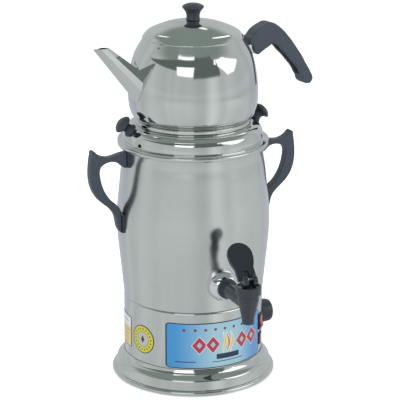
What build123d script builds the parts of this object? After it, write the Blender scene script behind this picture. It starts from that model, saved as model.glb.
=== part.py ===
from build123d import *
import os
from math import asin, cos, degrees, hypot, radians, sin, sqrt

# Electric two-storey samovar: a heated water tank with a tap, and a teapot that stands on its lid.
# Millimetres, Z up, the table at Z = 0 and the tank's axis on Z.
# The tap is at the front (-Y) and the two side handles are on +X and -X.
os.makedirs("parts", exist_ok=True)

# ---------------------------------------------------------------- shared clearances
skin_gap = 0.1            # between nested pieces of one body
lift_gap = 0.3            # between pieces that lift off one another
running_gap = 0.05        # radial, shaft in hole
sheet = 1.0               # stainless sheet of the tank, base, foot and teapot

# ---------------------------------------------------------------- foot and base
foot_r = 111.5
foot_bead_r = 3.5
foot_lift = 1.5
foot_step_r, foot_step_z = 107.0, 9.0
foot_shoulder_r, foot_shoulder_z = 104.3, 21.0
foot_collar_z = 33.5
base_r = 94.5
base_low_z = 24.5
base_top_z = 113.5
collar_rise = 6.5
pad_r, pad_inset = 8.0, 23.5
pad_count = 4
pad_ring_r = foot_r - pad_inset
cover_z = 5.0
post_inset, post_flats = 24.5, 7.0
post_count = 3
post_ring_r = base_r - post_inset
cover_screw_r, cover_screw_head_r = 1.95, 3.6

# ---------------------------------------------------------------- tank
seam = 0.3
barrel_step, barrel_swell = 0.3, 8.7
barrel_low_r = base_r - barrel_step
barrel_belly_r, barrel_belly_z = base_r + barrel_swell, 222.0
barrel_neck_r, barrel_neck_z = 93.7, 313.0
rim_r, rim_z, rim_bead_r = 101.3, 324.4, 3.4
floor_rise = 8.0
element_inset, element_tube_r, element_rise = 32.2, 4.0, 12.0
element_r = barrel_low_r - element_inset

# ---------------------------------------------------------------- tank lid
brim = 1.5
lid_wall_r = 93.8
lid_shoulder_r, lid_shoulder_z = 87.0, 345.6
lid_top_r, lid_top_z = 78.0, 351.0
steam_r = 44.0
plug_r, plug_depth = 92.0, 9.0
steam_lip = 6.0
vent_azimuth = -70.7
vent_z, vent_r = 334.5, 1.8
lid_knob_length = 26.0
lid_knob_cap_r, lid_knob_neck_r, lid_knob_base_r = 12.6, 5.6, 8.6

# ---------------------------------------------------------------- teapot
pot_disc_r, pot_disc_h, pot_disc_round, pot_disc_rim, pot_disc_web = 76.6, 5.6, 1.5, 8.0, 1.6
pot_floor_r = 74.0
pot_belly_r, pot_belly_z = 86.6, 390.0
pot_mouth_r, pot_mouth_z = 66.6, 465.6
pot_ledge = 5.0
pot_lid_r, pot_lid_rise, pot_lid_lip = 67.1, 21.5, 1.4
pot_plug_depth = 8.0
pot_knob_h, pot_knob_top_r, pot_knob_waist_r, pot_knob_base_r = 21.8, 14.3, 8.9, 9.3
spout_azimuth = -80.7
spout_tip_r, spout_mouth_r, spout_tip_z = 149.8, 127.2, 465.0
spout_wall = 1.0
pot_handle_azimuth = 99.3
pot_handle_w, pot_grip_groove = 20.0, 10.5
pot_handle_out, pot_handle_z = 84.4, 450.9

# ---------------------------------------------------------------- side handles
side_handle_w = 13.0
side_handle_top_z, side_handle_low_z = 319.5, 209.2
top_pad_h, low_pad_h = 21.0, 27.0
side_grip_r = 148.6
top_bracket_t, low_bracket_t, bracket_w = 3.2, 2.0, 17.0
stud_r, top_stud_depth, low_stud_depth = 2.5, 11.0, 5.5
grub_r, grub_key, grub_sunk = 2.0, 2.0, 0.4

# ---------------------------------------------------------------- tap
tap_z = 152.5
tap_reach = 180.0
dome_r, dome_depth, dome_nose_r = 21.0, 16.0, 14.0
shank_r, shank_bore_r = 7.8, 4.2
tap_flange_r, tap_flange_t = 13.6, 4.0
tap_arm_r = 9.5
tap_top_r, tap_top_z = 13.8, 167.0
nozzle_r, nozzle_z, nozzle_bore_r = 8.0, 127.0, 4.5
chamber_r, seat_z = 9.0, 145.0
bonnet_r, bonnet_h, bonnet_round, bonnet_recess_r, bonnet_recess = 16.5, 11.0, 1.0, 13.8, 2.0
bonnet_spigot = 5.0
stem_r, stem_lift, stem_top = 3.0, 3.0, 3.7
cup_r, cup_h, cup_socket, seat_gap = 7.0, 6.0, 2.0, 0.1
spring_r, spring_wire_r = 4.6, 0.6
spring_turns = 5
pin_r, pin_length = 1.5, 19.0
cam_r, cam_gap = 8.0, 0.13
cam_phase = 30.0
lever_lean, lever_swing = 43.0, 55.0
lever_length, lever_w, lever_base_w, lever_t = 57.0, 34.0, 19.0, 5.6
fork_gap, fork_depth = 7.2, 17.0

# ---------------------------------------------------------------- controls
knob_azimuth = 90.0
knob_z = 68.0
knob_r, knob_skirt_t, knob_grip_r, knob_h = 19.4, 3.4, 16.4, 21.0
knob_wall, knob_lift, knob_socket = 1.8, 0.5, 12.0
knob_shaft_r, shaft_sunk = 3.0, 10.0
bezel_r, bezel_t = 20.4, 1.8
thermostat_w, thermostat_depth = 34.0, 22.0
thermostat_boss_r = 4.6
thermostat_screw_head_r, thermostat_screw_bite = 3.4, 8.0
bulb_inset = 40.5
bulb_out_r = base_r - bulb_inset
switch_gap = 8.2144
rocker_z, rocker_frame_w, rocker_frame_h, rocker_frame_t = 78.0, 15.0, 21.0, 2.0
rocker_w, rocker_h, rocker_proud = 9.6, 15.6, 3.6
rocker_tilt = 14.0
rocker_pivot, rocker_pin, rocker_pin_r = -1.5, 0.8, 1.0
lamp_z, lamp_w, lamp_h, lamp_proud = 53.6, 11.0, 16.4, 1.6
inlet_w, inlet_h, inlet_corner, inlet_z, inlet_proud = 50.0, 28.0, 3.0, 66.0, 4.0
socket_w, socket_h, socket_depth = 24.4, 16.4, 17.0
inlet_pin_places = [(-7.0, -2.0), (7.0, -2.0), (0.0, 2.0)]
inlet_pin_t, inlet_pin_w, inlet_pin_length, inlet_tag = 2.0, 4.0, 12.0, 3.0
inlet_screw_head_r, inlet_screw_head_h, inlet_nut_flats = 2.8, 1.6, 5.5
block_w, block_d, block_h, block_screw_bite = 30.0, 16.0, 14.0, 9.0
wire_r = 1.1

# ---------------------------------------------------------------- labels
label_z, label_w, label_h, label_corner = 67.0, 136.0, 64.0, 4.5
label_t = 0.3
switch_azimuth = degrees(asin(label_w / 2 / base_r) + switch_gap / base_r)
round_label_azimuth = -68.5
round_label_z, round_label_r = 66.5, 19.8
side_label_azimuth = -97.0
side_label_z, side_label_w, side_label_h = 68.2, 40.0, 43.5


# ---------------------------------------------------------------- helpers
def radial(azimuth):
    """Unit vector out from the axis: azimuth 0 is the tap, 90 the right-hand handle."""
    return Vector(sin(radians(azimuth)), -cos(radians(azimuth)), 0)


def sideways(azimuth):
    """Unit vector that runs round the body at an azimuth."""
    return Vector(cos(radians(azimuth)), sin(radians(azimuth)), 0)


def side_plane(azimuth):
    """Plane through the axis: local X runs outwards and local Y runs up."""
    return Plane(origin=(0, 0, 0), x_dir=radial(azimuth), z_dir=-sideways(azimuth))


def wall_plane(azimuth, radius, height):
    """Plane square to a radius: local X runs round the body, local Y up, the normal outwards."""
    origin = radial(azimuth) * radius + Vector(0, 0, height)
    return Plane(origin=origin, x_dir=sideways(azimuth), z_dir=radial(azimuth))


def inset(outline, distance):
    """The points of an outline that runs upwards, moved square to it towards the axis."""
    moved = []
    for index, (r, z) in enumerate(outline):
        before = outline[max(index - 1, 0)]
        after = outline[min(index + 1, len(outline) - 1)]
        run, rise = after[0] - before[0], after[1] - before[1]
        length = hypot(run, rise)
        moved.append((r - distance * rise / length, z + distance * run / length))
    return moved


def spun_sheet(outline, thickness, curve=Spline):
    """Sheet metal spun about Z, with its outer face on the outline."""
    inner = inset(outline, thickness)
    with BuildPart() as spun:
        with BuildSketch(Plane.XZ):
            with BuildLine():
                curve(*outline)
                Line(outline[-1], inner[-1])
                curve(*inner)
                Line(inner[0], outline[0])
            make_face()
        revolve(axis=Axis.Z)
    return spun.part


def spun_solid(outline, curve=Spline):
    """Full solid of revolution out to an outline, flat at both ends."""
    with BuildPart() as spun:
        with BuildSketch(Plane.XZ):
            with BuildLine():
                curve(*outline)
                Polyline(outline[-1], (0, outline[-1][1]), (0, outline[0][1]), outline[0])
            make_face()
        revolve(axis=Axis.Z)
    return spun.part


def ring(inner_r, outer_r, low_z, high_z):
    """Plain ring about Z."""
    with BuildPart() as made:
        with BuildSketch(Plane.XY.offset(low_z)):
            Circle(outer_r)
            if inner_r > 0:
                Circle(inner_r, mode=Mode.SUBTRACT)
        extrude(amount=high_z - low_z)
    return made.part


def traced(outline, steps=32):
    """Close points along the smooth curve through an outline, so that its offsets run true."""
    edge = Spline(*outline)
    places = [edge @ (step / steps) for step in range(steps + 1)]
    return [(place.X, place.Y) for place in places]


def bent_rod(route, radius, bend):
    """Round rod or wire along straight runs with rounded corners."""
    with BuildPart() as rod:
        with BuildLine() as path:
            FilletPolyline(*route, radius=bend)
        with BuildSketch(Plane(origin=path.line @ 0, z_dir=path.line % 0)):
            Circle(radius)
        sweep()
    return rod.part


def radius_at(outline, height):
    """Outer radius of a spun outline at a height."""
    edge = Spline(*outline)
    low, high = 0.0, 1.0
    for _ in range(30):
        middle = (low + high) / 2
        if (edge @ middle).Y < height:
            low = middle
        else:
            high = middle
    return (edge @ low).X


def keep(piece, name):
    """Label a finished piece and write its STEP file."""
    piece.label = name
    export_step(piece, f"parts/{name}.step")


# ---------------------------------------------------------------- outlines of the spun bodies
barrel_low_z = base_top_z + seam
barrel_outline = traced([
    (barrel_low_r, barrel_low_z),
    (barrel_low_r + 5.6, (barrel_low_z + barrel_belly_z) / 2 + 2),
    (barrel_belly_r, barrel_belly_z),
    (barrel_neck_r + 4.9, barrel_neck_z - 37),
    (barrel_neck_r + 1.8, barrel_neck_z - 14),
    (barrel_neck_r, barrel_neck_z),
    (rim_r - 1.3 * rim_bead_r, rim_z - 0.7 * rim_bead_r),
])
barrel_skin = spun_solid(inset(barrel_outline, -skin_gap))
barrel_hollow = spun_solid(inset(barrel_outline, sheet + skin_gap))

pot_base_z = lid_top_z
pot_floor_z = pot_base_z + pot_disc_h
pot_outline = traced([
    (pot_floor_r, pot_floor_z),
    (pot_floor_r + 5.6, pot_floor_z + 4.4),
    (pot_belly_r - 1.4, pot_belly_z - 15.5),
    (pot_belly_r, pot_belly_z),
    (pot_belly_r - 2.6, pot_belly_z + 30),
    (pot_mouth_r + 10.6, pot_mouth_z - 19.6),
    (pot_mouth_r, pot_mouth_z),
])
pot_skin = spun_solid(inset(pot_outline, -skin_gap))

lid_outline = [
    (lid_wall_r, rim_z + rim_bead_r + brim),
    (lid_wall_r - 2.0, lid_shoulder_z - 7.6),
    (lid_shoulder_r, lid_shoulder_z),
    (lid_top_r + 4.6, lid_top_z - 1.6),
    (lid_top_r, lid_top_z),
]

# ================================================================ base
foot_collar_r = base_r + skin_gap + sheet
foot_outline = [
    (foot_r - foot_bead_r, foot_lift + foot_bead_r),
    (foot_step_r, foot_step_z),
    (foot_shoulder_r, foot_shoulder_z),
    (foot_shoulder_r - 2.3, foot_shoulder_z + 2.4),
    (foot_collar_r + 4.2, foot_shoulder_z + 4.2),
    (foot_collar_r + 1.4, foot_collar_z - 4.5),
    (foot_collar_r, foot_collar_z),
]
with BuildPart() as foot_ring:
    add(spun_sheet(foot_outline, sheet, Polyline))
    with BuildSketch(Plane.XZ):
        with Locations((foot_r - foot_bead_r, foot_lift + foot_bead_r)):
            Circle(foot_bead_r)
    revolve(axis=Axis.Z)
keep(foot_ring.part, "foot_ring")

cover_r = foot_r - 2 * foot_bead_r - skin_gap
cover_top_z = cover_z + sheet
vent_slot_count, vent_slot_length, vent_slot_w, vent_slot_ring_r = 10, 16.0, 3.0, 40.0
pad_stem_r = 3.0
with BuildPart() as bottom_cover:
    with BuildSketch(Plane.XY.offset(cover_z)):
        Circle(cover_r)
        with PolarLocations(vent_slot_ring_r, vent_slot_count):
            SlotOverall(vent_slot_length, vent_slot_w, mode=Mode.SUBTRACT)
        with PolarLocations(pad_ring_r, pad_count, start_angle=45):
            Circle(pad_stem_r + skin_gap, mode=Mode.SUBTRACT)
        with PolarLocations(post_ring_r, post_count, start_angle=90):
            Circle(cover_screw_r + skin_gap, mode=Mode.SUBTRACT)
        Circle(cover_screw_r + skin_gap, mode=Mode.SUBTRACT)
    extrude(amount=sheet)
keep(bottom_cover.part, "bottom_cover")

pad_head_r, pad_head_h = 4.6, 1.8
with BuildPart() as rubber_feet:
    with BuildSketch(Plane.XY):
        with PolarLocations(pad_ring_r, pad_count, start_angle=45):
            Circle(pad_r)
    extrude(amount=cover_z)
    chamfer(rubber_feet.faces().sort_by(Axis.Z)[:pad_count].edges(), 1.0)
    with BuildSketch(Plane.XY.offset(cover_z)):
        with PolarLocations(pad_ring_r, pad_count, start_angle=45):
            Circle(pad_stem_r)
    extrude(amount=sheet + pad_head_h)
    with BuildSketch(Plane.XY.offset(cover_top_z)):
        with PolarLocations(pad_ring_r, pad_count, start_angle=45):
            Circle(pad_head_r)
    extrude(amount=pad_head_h)
keep(rubber_feet.part, "rubber_feet")

barrel_inner_low_r = barrel_low_r - sheet
floor_r = barrel_inner_low_r - skin_gap
floor_z = barrel_low_z + floor_rise
collar_r = floor_r - sheet - skin_gap
base_shell_points = [
    (base_r, base_low_z), (base_r, base_top_z), (collar_r, base_top_z),
    (collar_r, base_top_z + collar_rise), (collar_r - sheet, base_top_z + collar_rise),
    (collar_r - sheet, base_top_z - sheet), (base_r - sheet, base_top_z - sheet),
    (base_r - sheet, base_low_z),
]
cut_depth = 30.0
inlet_hole_w, inlet_hole_h = 28.0, 20.0
inlet_screw_x = 20.0
inlet_screw_r = 1.6
thermostat_screw_x, thermostat_screw_r = 12.5, 1.9
rocker_hole_w, rocker_hole_h = rocker_frame_w - 2.2, rocker_frame_h - 2.0
lamp_hole_w, lamp_hole_h = lamp_w - 2.0, lamp_h - 2.0


def wall_cut(azimuth, height):
    """Plane just inside the base wall, for cutting outwards through it."""
    return wall_plane(azimuth, base_r - cut_depth / 2, height)


with BuildPart() as base_shell:
    with BuildSketch(Plane.XZ):
        with BuildLine():
            Polyline(*base_shell_points, close=True)
        make_face()
    revolve(axis=Axis.Z)
    with BuildSketch(wall_cut(knob_azimuth, knob_z)):
        Circle(thermostat_boss_r + skin_gap)
        with Locations((-thermostat_screw_x, 0), (thermostat_screw_x, 0)):
            Circle(thermostat_screw_r + skin_gap)
    extrude(amount=cut_depth, mode=Mode.SUBTRACT)
    with BuildSketch(wall_cut(switch_azimuth, rocker_z)):
        Rectangle(rocker_hole_w + 2 * skin_gap, rocker_hole_h + 2 * skin_gap)
    extrude(amount=cut_depth, mode=Mode.SUBTRACT)
    with BuildSketch(wall_cut(switch_azimuth, lamp_z)):
        Rectangle(lamp_hole_w + 2 * skin_gap, lamp_hole_h + 2 * skin_gap)
    extrude(amount=cut_depth, mode=Mode.SUBTRACT)
    with BuildSketch(wall_cut(180, inlet_z)):
        Rectangle(inlet_hole_w + 2 * skin_gap, inlet_hole_h + 2 * skin_gap)
        with Locations((-inlet_screw_x, 0), (inlet_screw_x, 0)):
            Circle(inlet_screw_r + skin_gap)
    extrude(amount=cut_depth, mode=Mode.SUBTRACT)
keep(base_shell.part, "base_shell")

post_screw_depth = 10.0
with BuildPart() as base_posts:
    with BuildSketch(Plane.XY.offset(cover_top_z)):
        with PolarLocations(post_ring_r, post_count, start_angle=90):
            RegularPolygon(post_flats / 2, 6, major_radius=False)
    extrude(amount=floor_z - cover_top_z)
    with BuildSketch(Plane.XY.offset(cover_top_z)):
        with PolarLocations(post_ring_r, post_count, start_angle=90):
            Circle(cover_screw_r + skin_gap)
    extrude(amount=post_screw_depth + skin_gap, mode=Mode.SUBTRACT)
keep(base_posts.part, "base_posts")

screw_head_h = 2.4
slot_w, slot_depth = 0.9, 1.0
with BuildPart() as bottom_cover_screws:
    with BuildSketch(Plane.XY.offset(cover_z - screw_head_h)):
        with PolarLocations(post_ring_r, post_count, start_angle=90):
            Circle(cover_screw_head_r)
    extrude(amount=screw_head_h)
    chamfer(bottom_cover_screws.faces().sort_by(Axis.Z)[:post_count].edges(), 0.8)
    with BuildSketch(Plane.XY.offset(cover_z - screw_head_h)):
        with PolarLocations(post_ring_r, post_count, start_angle=90):
            Rectangle(2 * cover_screw_head_r, slot_w)
    extrude(amount=slot_depth, mode=Mode.SUBTRACT)
    with BuildSketch(Plane.XY.offset(cover_z)):
        with PolarLocations(post_ring_r, post_count, start_angle=90):
            Circle(cover_screw_r)
    extrude(amount=sheet + post_screw_depth)
keep(bottom_cover_screws.part, "bottom_cover_screws")


def wall_patch(outline, azimuth, height):
    """Thin sheet that lies on the base wall, cut to a flat outline seen square on."""
    with BuildPart() as patch:
        with BuildSketch(wall_plane(azimuth, 0, height)):
            add(outline)
        extrude(amount=base_r + cut_depth)
        add(ring(base_r + skin_gap / 2, base_r + skin_gap / 2 + label_t, 0, base_top_z), mode=Mode.INTERSECT)
    return patch.part


keep(wall_patch(RectangleRounded(label_w, label_h, label_corner), 0, label_z), "front_label")
keep(wall_patch(Circle(round_label_r), round_label_azimuth, round_label_z), "round_sticker")
side_label = RectangleRounded(side_label_w, side_label_h, 2.0)
keep(wall_patch(side_label, side_label_azimuth, side_label_z), "side_sticker")

# ================================================================ tank
tap_wall_r = radius_at(barrel_outline, tap_z)
with BuildPart() as tank_barrel:
    add(spun_sheet(barrel_outline, sheet))
    with BuildSketch(Plane.XZ):
        with Locations((rim_r - rim_bead_r, rim_z)):
            Circle(rim_bead_r)
    revolve(axis=Axis.Z)
    with BuildSketch(wall_plane(0, tap_wall_r - cut_depth / 2, tap_z)):
        Circle(shank_r + skin_gap)
    extrude(amount=cut_depth, mode=Mode.SUBTRACT)
keep(tank_barrel.part, "tank_barrel")

element_stud_x, element_hole_gap = 16.0, 0.3
element_y = sqrt(element_r ** 2 - element_stud_x ** 2)
floor_top_z = floor_z + sheet
with BuildPart() as tank_floor:
    with BuildSketch(Plane.XZ):
        with BuildLine():
            Polyline(
                (floor_r, barrel_low_z + 1), (floor_r, floor_top_z), (0, floor_top_z), (0, floor_z),
                (floor_r - sheet, floor_z), (floor_r - sheet, barrel_low_z + 1), close=True,
            )
        make_face()
    revolve(axis=Axis.Z)
    with BuildSketch(Plane.XY.offset(floor_z)):
        with Locations((-element_stud_x, element_y), (element_stud_x, element_y)):
            Circle(element_tube_r + element_hole_gap)
    extrude(amount=sheet, mode=Mode.SUBTRACT)
keep(tank_floor.part, "tank_floor")

element_z = floor_top_z + element_rise
element_gap_deg = 2 * degrees(asin(element_stud_x / element_r))
stud_drop = 16.0
with BuildPart() as heating_element:
    with BuildSketch(side_plane(180 + element_gap_deg / 2)):
        with Locations((element_r, element_z)):
            Circle(element_tube_r)
    revolve(axis=Axis.Z, revolution_arc=360 - element_gap_deg)
    with Locations((-element_stud_x, element_y, element_z), (element_stud_x, element_y, element_z)):
        Sphere(element_tube_r)
    with BuildSketch(Plane.XY.offset(floor_z - stud_drop)):
        with Locations((-element_stud_x, element_y), (element_stud_x, element_y)):
            Circle(element_tube_r)
    extrude(amount=element_z - floor_z + stud_drop)
keep(heating_element.part, "heating_element")

seal_r, seal_t = 8.0, 2.0
with BuildPart() as element_seals:
    with BuildSketch(Plane.XY.offset(floor_top_z)):
        with Locations((-element_stud_x, element_y), (element_stud_x, element_y)):
            Circle(seal_r)
            Circle(element_tube_r, mode=Mode.SUBTRACT)
    extrude(amount=seal_t)
keep(element_seals.part, "element_seals")

nut_flats, nut_h = 13.0, 5.0
with BuildPart() as element_nuts:
    with BuildSketch(Plane.XY.offset(floor_z - nut_h)):
        with Locations((-element_stud_x, element_y), (element_stud_x, element_y)):
            RegularPolygon(nut_flats / 2, 6, major_radius=False)
            Circle(element_tube_r, mode=Mode.SUBTRACT)
    extrude(amount=nut_h)
keep(element_nuts.part, "element_nuts")

cutout_r, cutout_h = 8.5, 9.0
with BuildPart() as thermal_cutout:
    with BuildSketch(Plane.XY.offset(floor_z - cutout_h)):
        Circle(cutout_r)
    extrude(amount=cutout_h)
    with BuildSketch(Plane.XY.offset(floor_z - cutout_h - 5)):
        with Locations((-5, 0), (5, 0)):
            Rectangle(0.8, 6.3)
    extrude(amount=5)
keep(thermal_cutout.part, "thermal_cutout")

# ================================================================ tank lid
lid_low_z = rim_z + rim_bead_r
knob_seat_share = 0.62
lid_screw_r, lid_screw_head_r, lid_screw_depth = 2.0, 3.8, 12.0
screw_washer_gap = 0.6
shoulder_edge = Spline(*lid_outline)
knob_seat = shoulder_edge @ knob_seat_share
knob_slope = shoulder_edge % knob_seat_share


def lid_knob_frame(side):
    """Plane that a lid knob stands on: its normal is square to the lid's shoulder."""
    out, up = side * knob_slope.Y, -knob_slope.X
    origin = Vector(side * knob_seat.X, 0, knob_seat.Y) + Vector(out, 0, up) * skin_gap
    return Plane(origin=origin, x_dir=(0, 1, 0), z_dir=(out, 0, up))


with BuildPart() as tank_lid:
    add(spun_sheet(lid_outline, sheet))
    add(ring(steam_r, lid_top_r, lid_top_z - sheet, lid_top_z))
    add(ring(steam_r, steam_r + sheet, lid_top_z - steam_lip, lid_top_z))
    add(ring(plug_r - sheet, plug_r, lid_low_z - plug_depth, lid_low_z + brim))
    with BuildSketch(Plane.XZ):
        with BuildLine():
            Polyline((plug_r, lid_low_z + brim), (plug_r, lid_low_z), (rim_r - brim / 2, lid_low_z))
            ThreePointArc(
                (rim_r - brim / 2, lid_low_z), (rim_r, lid_low_z + brim / 2), (rim_r - brim / 2, lid_low_z + brim),
            )
            Line((rim_r - brim / 2, lid_low_z + brim), (plug_r, lid_low_z + brim))
        make_face()
    revolve(axis=Axis.Z)
    with BuildSketch(wall_plane(vent_azimuth, lid_wall_r - cut_depth / 2, vent_z)):
        Circle(vent_r)
    extrude(amount=cut_depth, mode=Mode.SUBTRACT)
    for side in (1, -1):
        with BuildSketch(lid_knob_frame(side).offset(-3 * sheet)):
            Circle(lid_screw_r + skin_gap)
        extrude(amount=5 * sheet, mode=Mode.SUBTRACT)
keep(tank_lid.part, "tank_lid")

# Mushroom knob: flared base, narrow neck and a wide shallow cap, built upright and then leaned out.
cap_low = lid_knob_length - 8.0
with BuildPart() as lid_knob:
    with BuildSketch(Plane.XZ):
        with BuildLine():
            Polyline((0, 0), (lid_knob_base_r, 0), (lid_knob_base_r, 1.5))
            Spline(
                (lid_knob_base_r, 1.5), (lid_knob_neck_r, 7.0), (lid_knob_neck_r + 0.6, cap_low - 3),
                (lid_knob_cap_r - 1.2, cap_low),
            )
            Spline(
                (lid_knob_cap_r - 1.2, cap_low), (lid_knob_cap_r, cap_low + 1.6), (lid_knob_cap_r - 1.4, cap_low + 3.4),
            )
            Spline(
                (lid_knob_cap_r - 1.4, cap_low + 3.4), (lid_knob_cap_r * 0.55, lid_knob_length - 1.1),
                (0, lid_knob_length), tangents=((-1, 0.6), (-1, 0)),
            )
            Line((0, lid_knob_length), (0, 0))
        make_face()
    revolve(axis=Axis.Z)
    with BuildSketch(Plane.XY):
        Circle(lid_screw_r)
    extrude(amount=lid_screw_depth, mode=Mode.SUBTRACT)
keep(lid_knob.part.moved(lid_knob_frame(1).location), "lid_knob_right")
keep(lid_knob.part.moved(lid_knob_frame(-1).location), "lid_knob_left")

with BuildPart() as lid_knob_screws:
    for side in (1, -1):
        with BuildSketch(lid_knob_frame(side).offset(-sheet - screw_washer_gap)):
            Circle(lid_screw_head_r)
        extrude(amount=-screw_head_h)
        with BuildSketch(lid_knob_frame(side).offset(-sheet - screw_washer_gap)):
            Circle(lid_screw_r)
        extrude(amount=lid_screw_depth)
keep(lid_knob_screws.part, "lid_knob_screws")

# ================================================================ teapot
strainer_z, strainer_hole_r, strainer_pitch = 408.0, 1.6, 6.0
strainer_rows, strainer_columns = 4, 3
pot_ledge_z = pot_mouth_z - sheet
pot_hole_azimuth = -63.0
pot_hole_z, pot_hole_r = 461.0, 1.1
with BuildPart() as teapot_body:
    add(spun_sheet(pot_outline, sheet))
    add(ring(0, pot_floor_r, pot_floor_z, pot_floor_z + sheet))
    add(ring(pot_mouth_r - pot_ledge, pot_mouth_r, pot_ledge_z, pot_mouth_z))
    with BuildSketch(wall_plane(spout_azimuth, pot_belly_r - cut_depth / 2, strainer_z)):
        with GridLocations(strainer_pitch, strainer_pitch, strainer_columns, strainer_rows):
            Circle(strainer_hole_r)
    extrude(amount=cut_depth, mode=Mode.SUBTRACT)
    with BuildSketch(wall_plane(pot_hole_azimuth, pot_mouth_r - cut_depth / 2, pot_hole_z)):
        Circle(pot_hole_r)
    extrude(amount=cut_depth, mode=Mode.SUBTRACT)
keep(teapot_body.part, "teapot_body")

with BuildPart() as teapot_base_disc:
    with BuildSketch(Plane.XY.offset(pot_base_z)):
        Circle(pot_disc_r)
    extrude(amount=pot_disc_h)
    fillet(teapot_base_disc.edges(), pot_disc_round)
    with BuildSketch(Plane.XY.offset(pot_base_z)):
        Circle(pot_disc_r - pot_disc_rim)
    extrude(amount=pot_disc_h - pot_disc_web, mode=Mode.SUBTRACT)
keep(teapot_base_disc.part, "teapot_base_disc")

spout_root_r = pot_belly_r - 16.6
spout_ridge_z, spout_keel_z, spout_crown_z = 417.0, 385.5, 428.5
spout_ridge_w, spout_mouth_w = 12.5, 5.2


def spout_section_root(shrink):
    """Kite with a narrow flat keel, in the upright plane where the spout starts."""
    root_plane = wall_plane(spout_azimuth, spout_root_r, 0)
    drop = 15.0
    ridge_w, ridge_z = spout_ridge_w + 2.2 - shrink, spout_ridge_z - drop
    keel_w, keel_z = 2.4 - shrink / 2, spout_keel_z - drop - 4 + shrink
    with BuildSketch(root_plane) as section:
        with BuildLine():
            Polyline(
                (0, spout_crown_z - drop / 2 - shrink), (ridge_w, ridge_z), (ridge_w - 2.0, ridge_z - 14),
                (keel_w, keel_z), (-keel_w, keel_z), (2.0 - ridge_w, ridge_z - 14), (-ridge_w, ridge_z), close=True,
            )
        make_face()
    return section.sketch


def spout_section_tip(shrink):
    """The same kite at the mouth, in a level plane."""
    mouth = Plane(origin=(0, 0, spout_tip_z), x_dir=radial(spout_azimuth), z_dir=(0, 0, 1))
    span = spout_tip_r - spout_mouth_r
    wide_r, flank_r, nose_out_r = spout_mouth_r + 0.28 * span, spout_mouth_r + 0.6 * span, spout_tip_r - 1.5 * shrink
    wide_w, nose_w = spout_mouth_w - shrink, 1.0 - shrink / 2
    with BuildSketch(mouth) as section:
        with BuildLine():
            Polyline(
                (spout_mouth_r + shrink, 0), (wide_r, -wide_w), (flank_r, 1.2 - wide_w), (nose_out_r, -nose_w),
                (nose_out_r, nose_w), (flank_r, wide_w - 1.2), (wide_r, wide_w), close=True,
            )
        make_face()
    return section.sketch


wing_outline = [(0, 425), (-6, 433.5), (-15, 436.2), (-22, 438.6), (-26.4, 436.0), (-14.5, 420.5), (-10, 414)]
wing_t = 1.4
with BuildPart() as spout_wing:
    with BuildSketch(wall_plane(spout_azimuth, 0, 0)):
        with BuildLine():
            Polyline(*wing_outline, *[(-x, z) for x, z in reversed(wing_outline[1:])], close=True)
        make_face()
    extrude(amount=2 * pot_belly_r)
    add(spun_sheet(inset(pot_outline, -wing_t - skin_gap), wing_t), mode=Mode.INTERSECT)
with BuildPart() as teapot_spout:
    loft(sections=[spout_section_root(0), spout_section_tip(0)], ruled=True)
    add(spout_wing.part)
    loft(sections=[spout_section_root(spout_wall), spout_section_tip(spout_wall)], ruled=True, mode=Mode.SUBTRACT)
    add(pot_skin, mode=Mode.SUBTRACT)
keep(teapot_spout.part, "teapot_spout")

# The handle's outline is walked from the upper front corner over the top, down the grip and back.
handle_plane = side_plane(pot_handle_azimuth)
hx, hz = pot_handle_out, pot_handle_z
with BuildSketch() as pot_handle_outline:
    with BuildLine():
        Spline(
            (hx, hz), (hx + 7.5, hz + 15.5), (hx + 19, hz + 23.2), (hx + 33.6, hz + 25.5), (hx + 45, hz + 20),
            (hx + 62, hz + 4.4), (hx + 79.2, hz - 16.8), (hx + 96.7, hz - 41.8), (hx + 106.6, hz - 57),
        )
        ThreePointArc((hx + 106.6, hz - 57), (hx + 106.4, hz - 64.6), (hx + 98, hz - 68.6))
        ThreePointArc((hx + 98, hz - 68.6), (hx + 89.4, hz - 67.4), (hx + 85.4, hz - 62))
        Spline(
            (hx + 85.4, hz - 62), (hx + 80.6, hz - 49), (hx + 66.2, hz - 30.7), (hx + 49.2, hz - 12.2),
            (hx + 40, hz - 2.2),
        )
        Line((hx + 40, hz - 2.2), (hx + 17.2, hz - 16.5))
        Line((hx + 17.2, hz - 16.5), (hx, hz))
    make_face()
with BuildSketch() as grip_groove_outline:
    with BuildLine():
        Spline((hx + 84, hz - 56), (hx + 76, hz - 44), (hx + 61, hz - 25.5), (hx + 43, hz - 7))
        Line((hx + 43, hz - 7), (hx + 54, hz - 4))
        Spline((hx + 54, hz - 4), (hx + 70, hz - 20.5), (hx + 84, hz - 38), (hx + 92, hz - 50))
        Line((hx + 92, hz - 50), (hx + 84, hz - 56))
    make_face()

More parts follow.
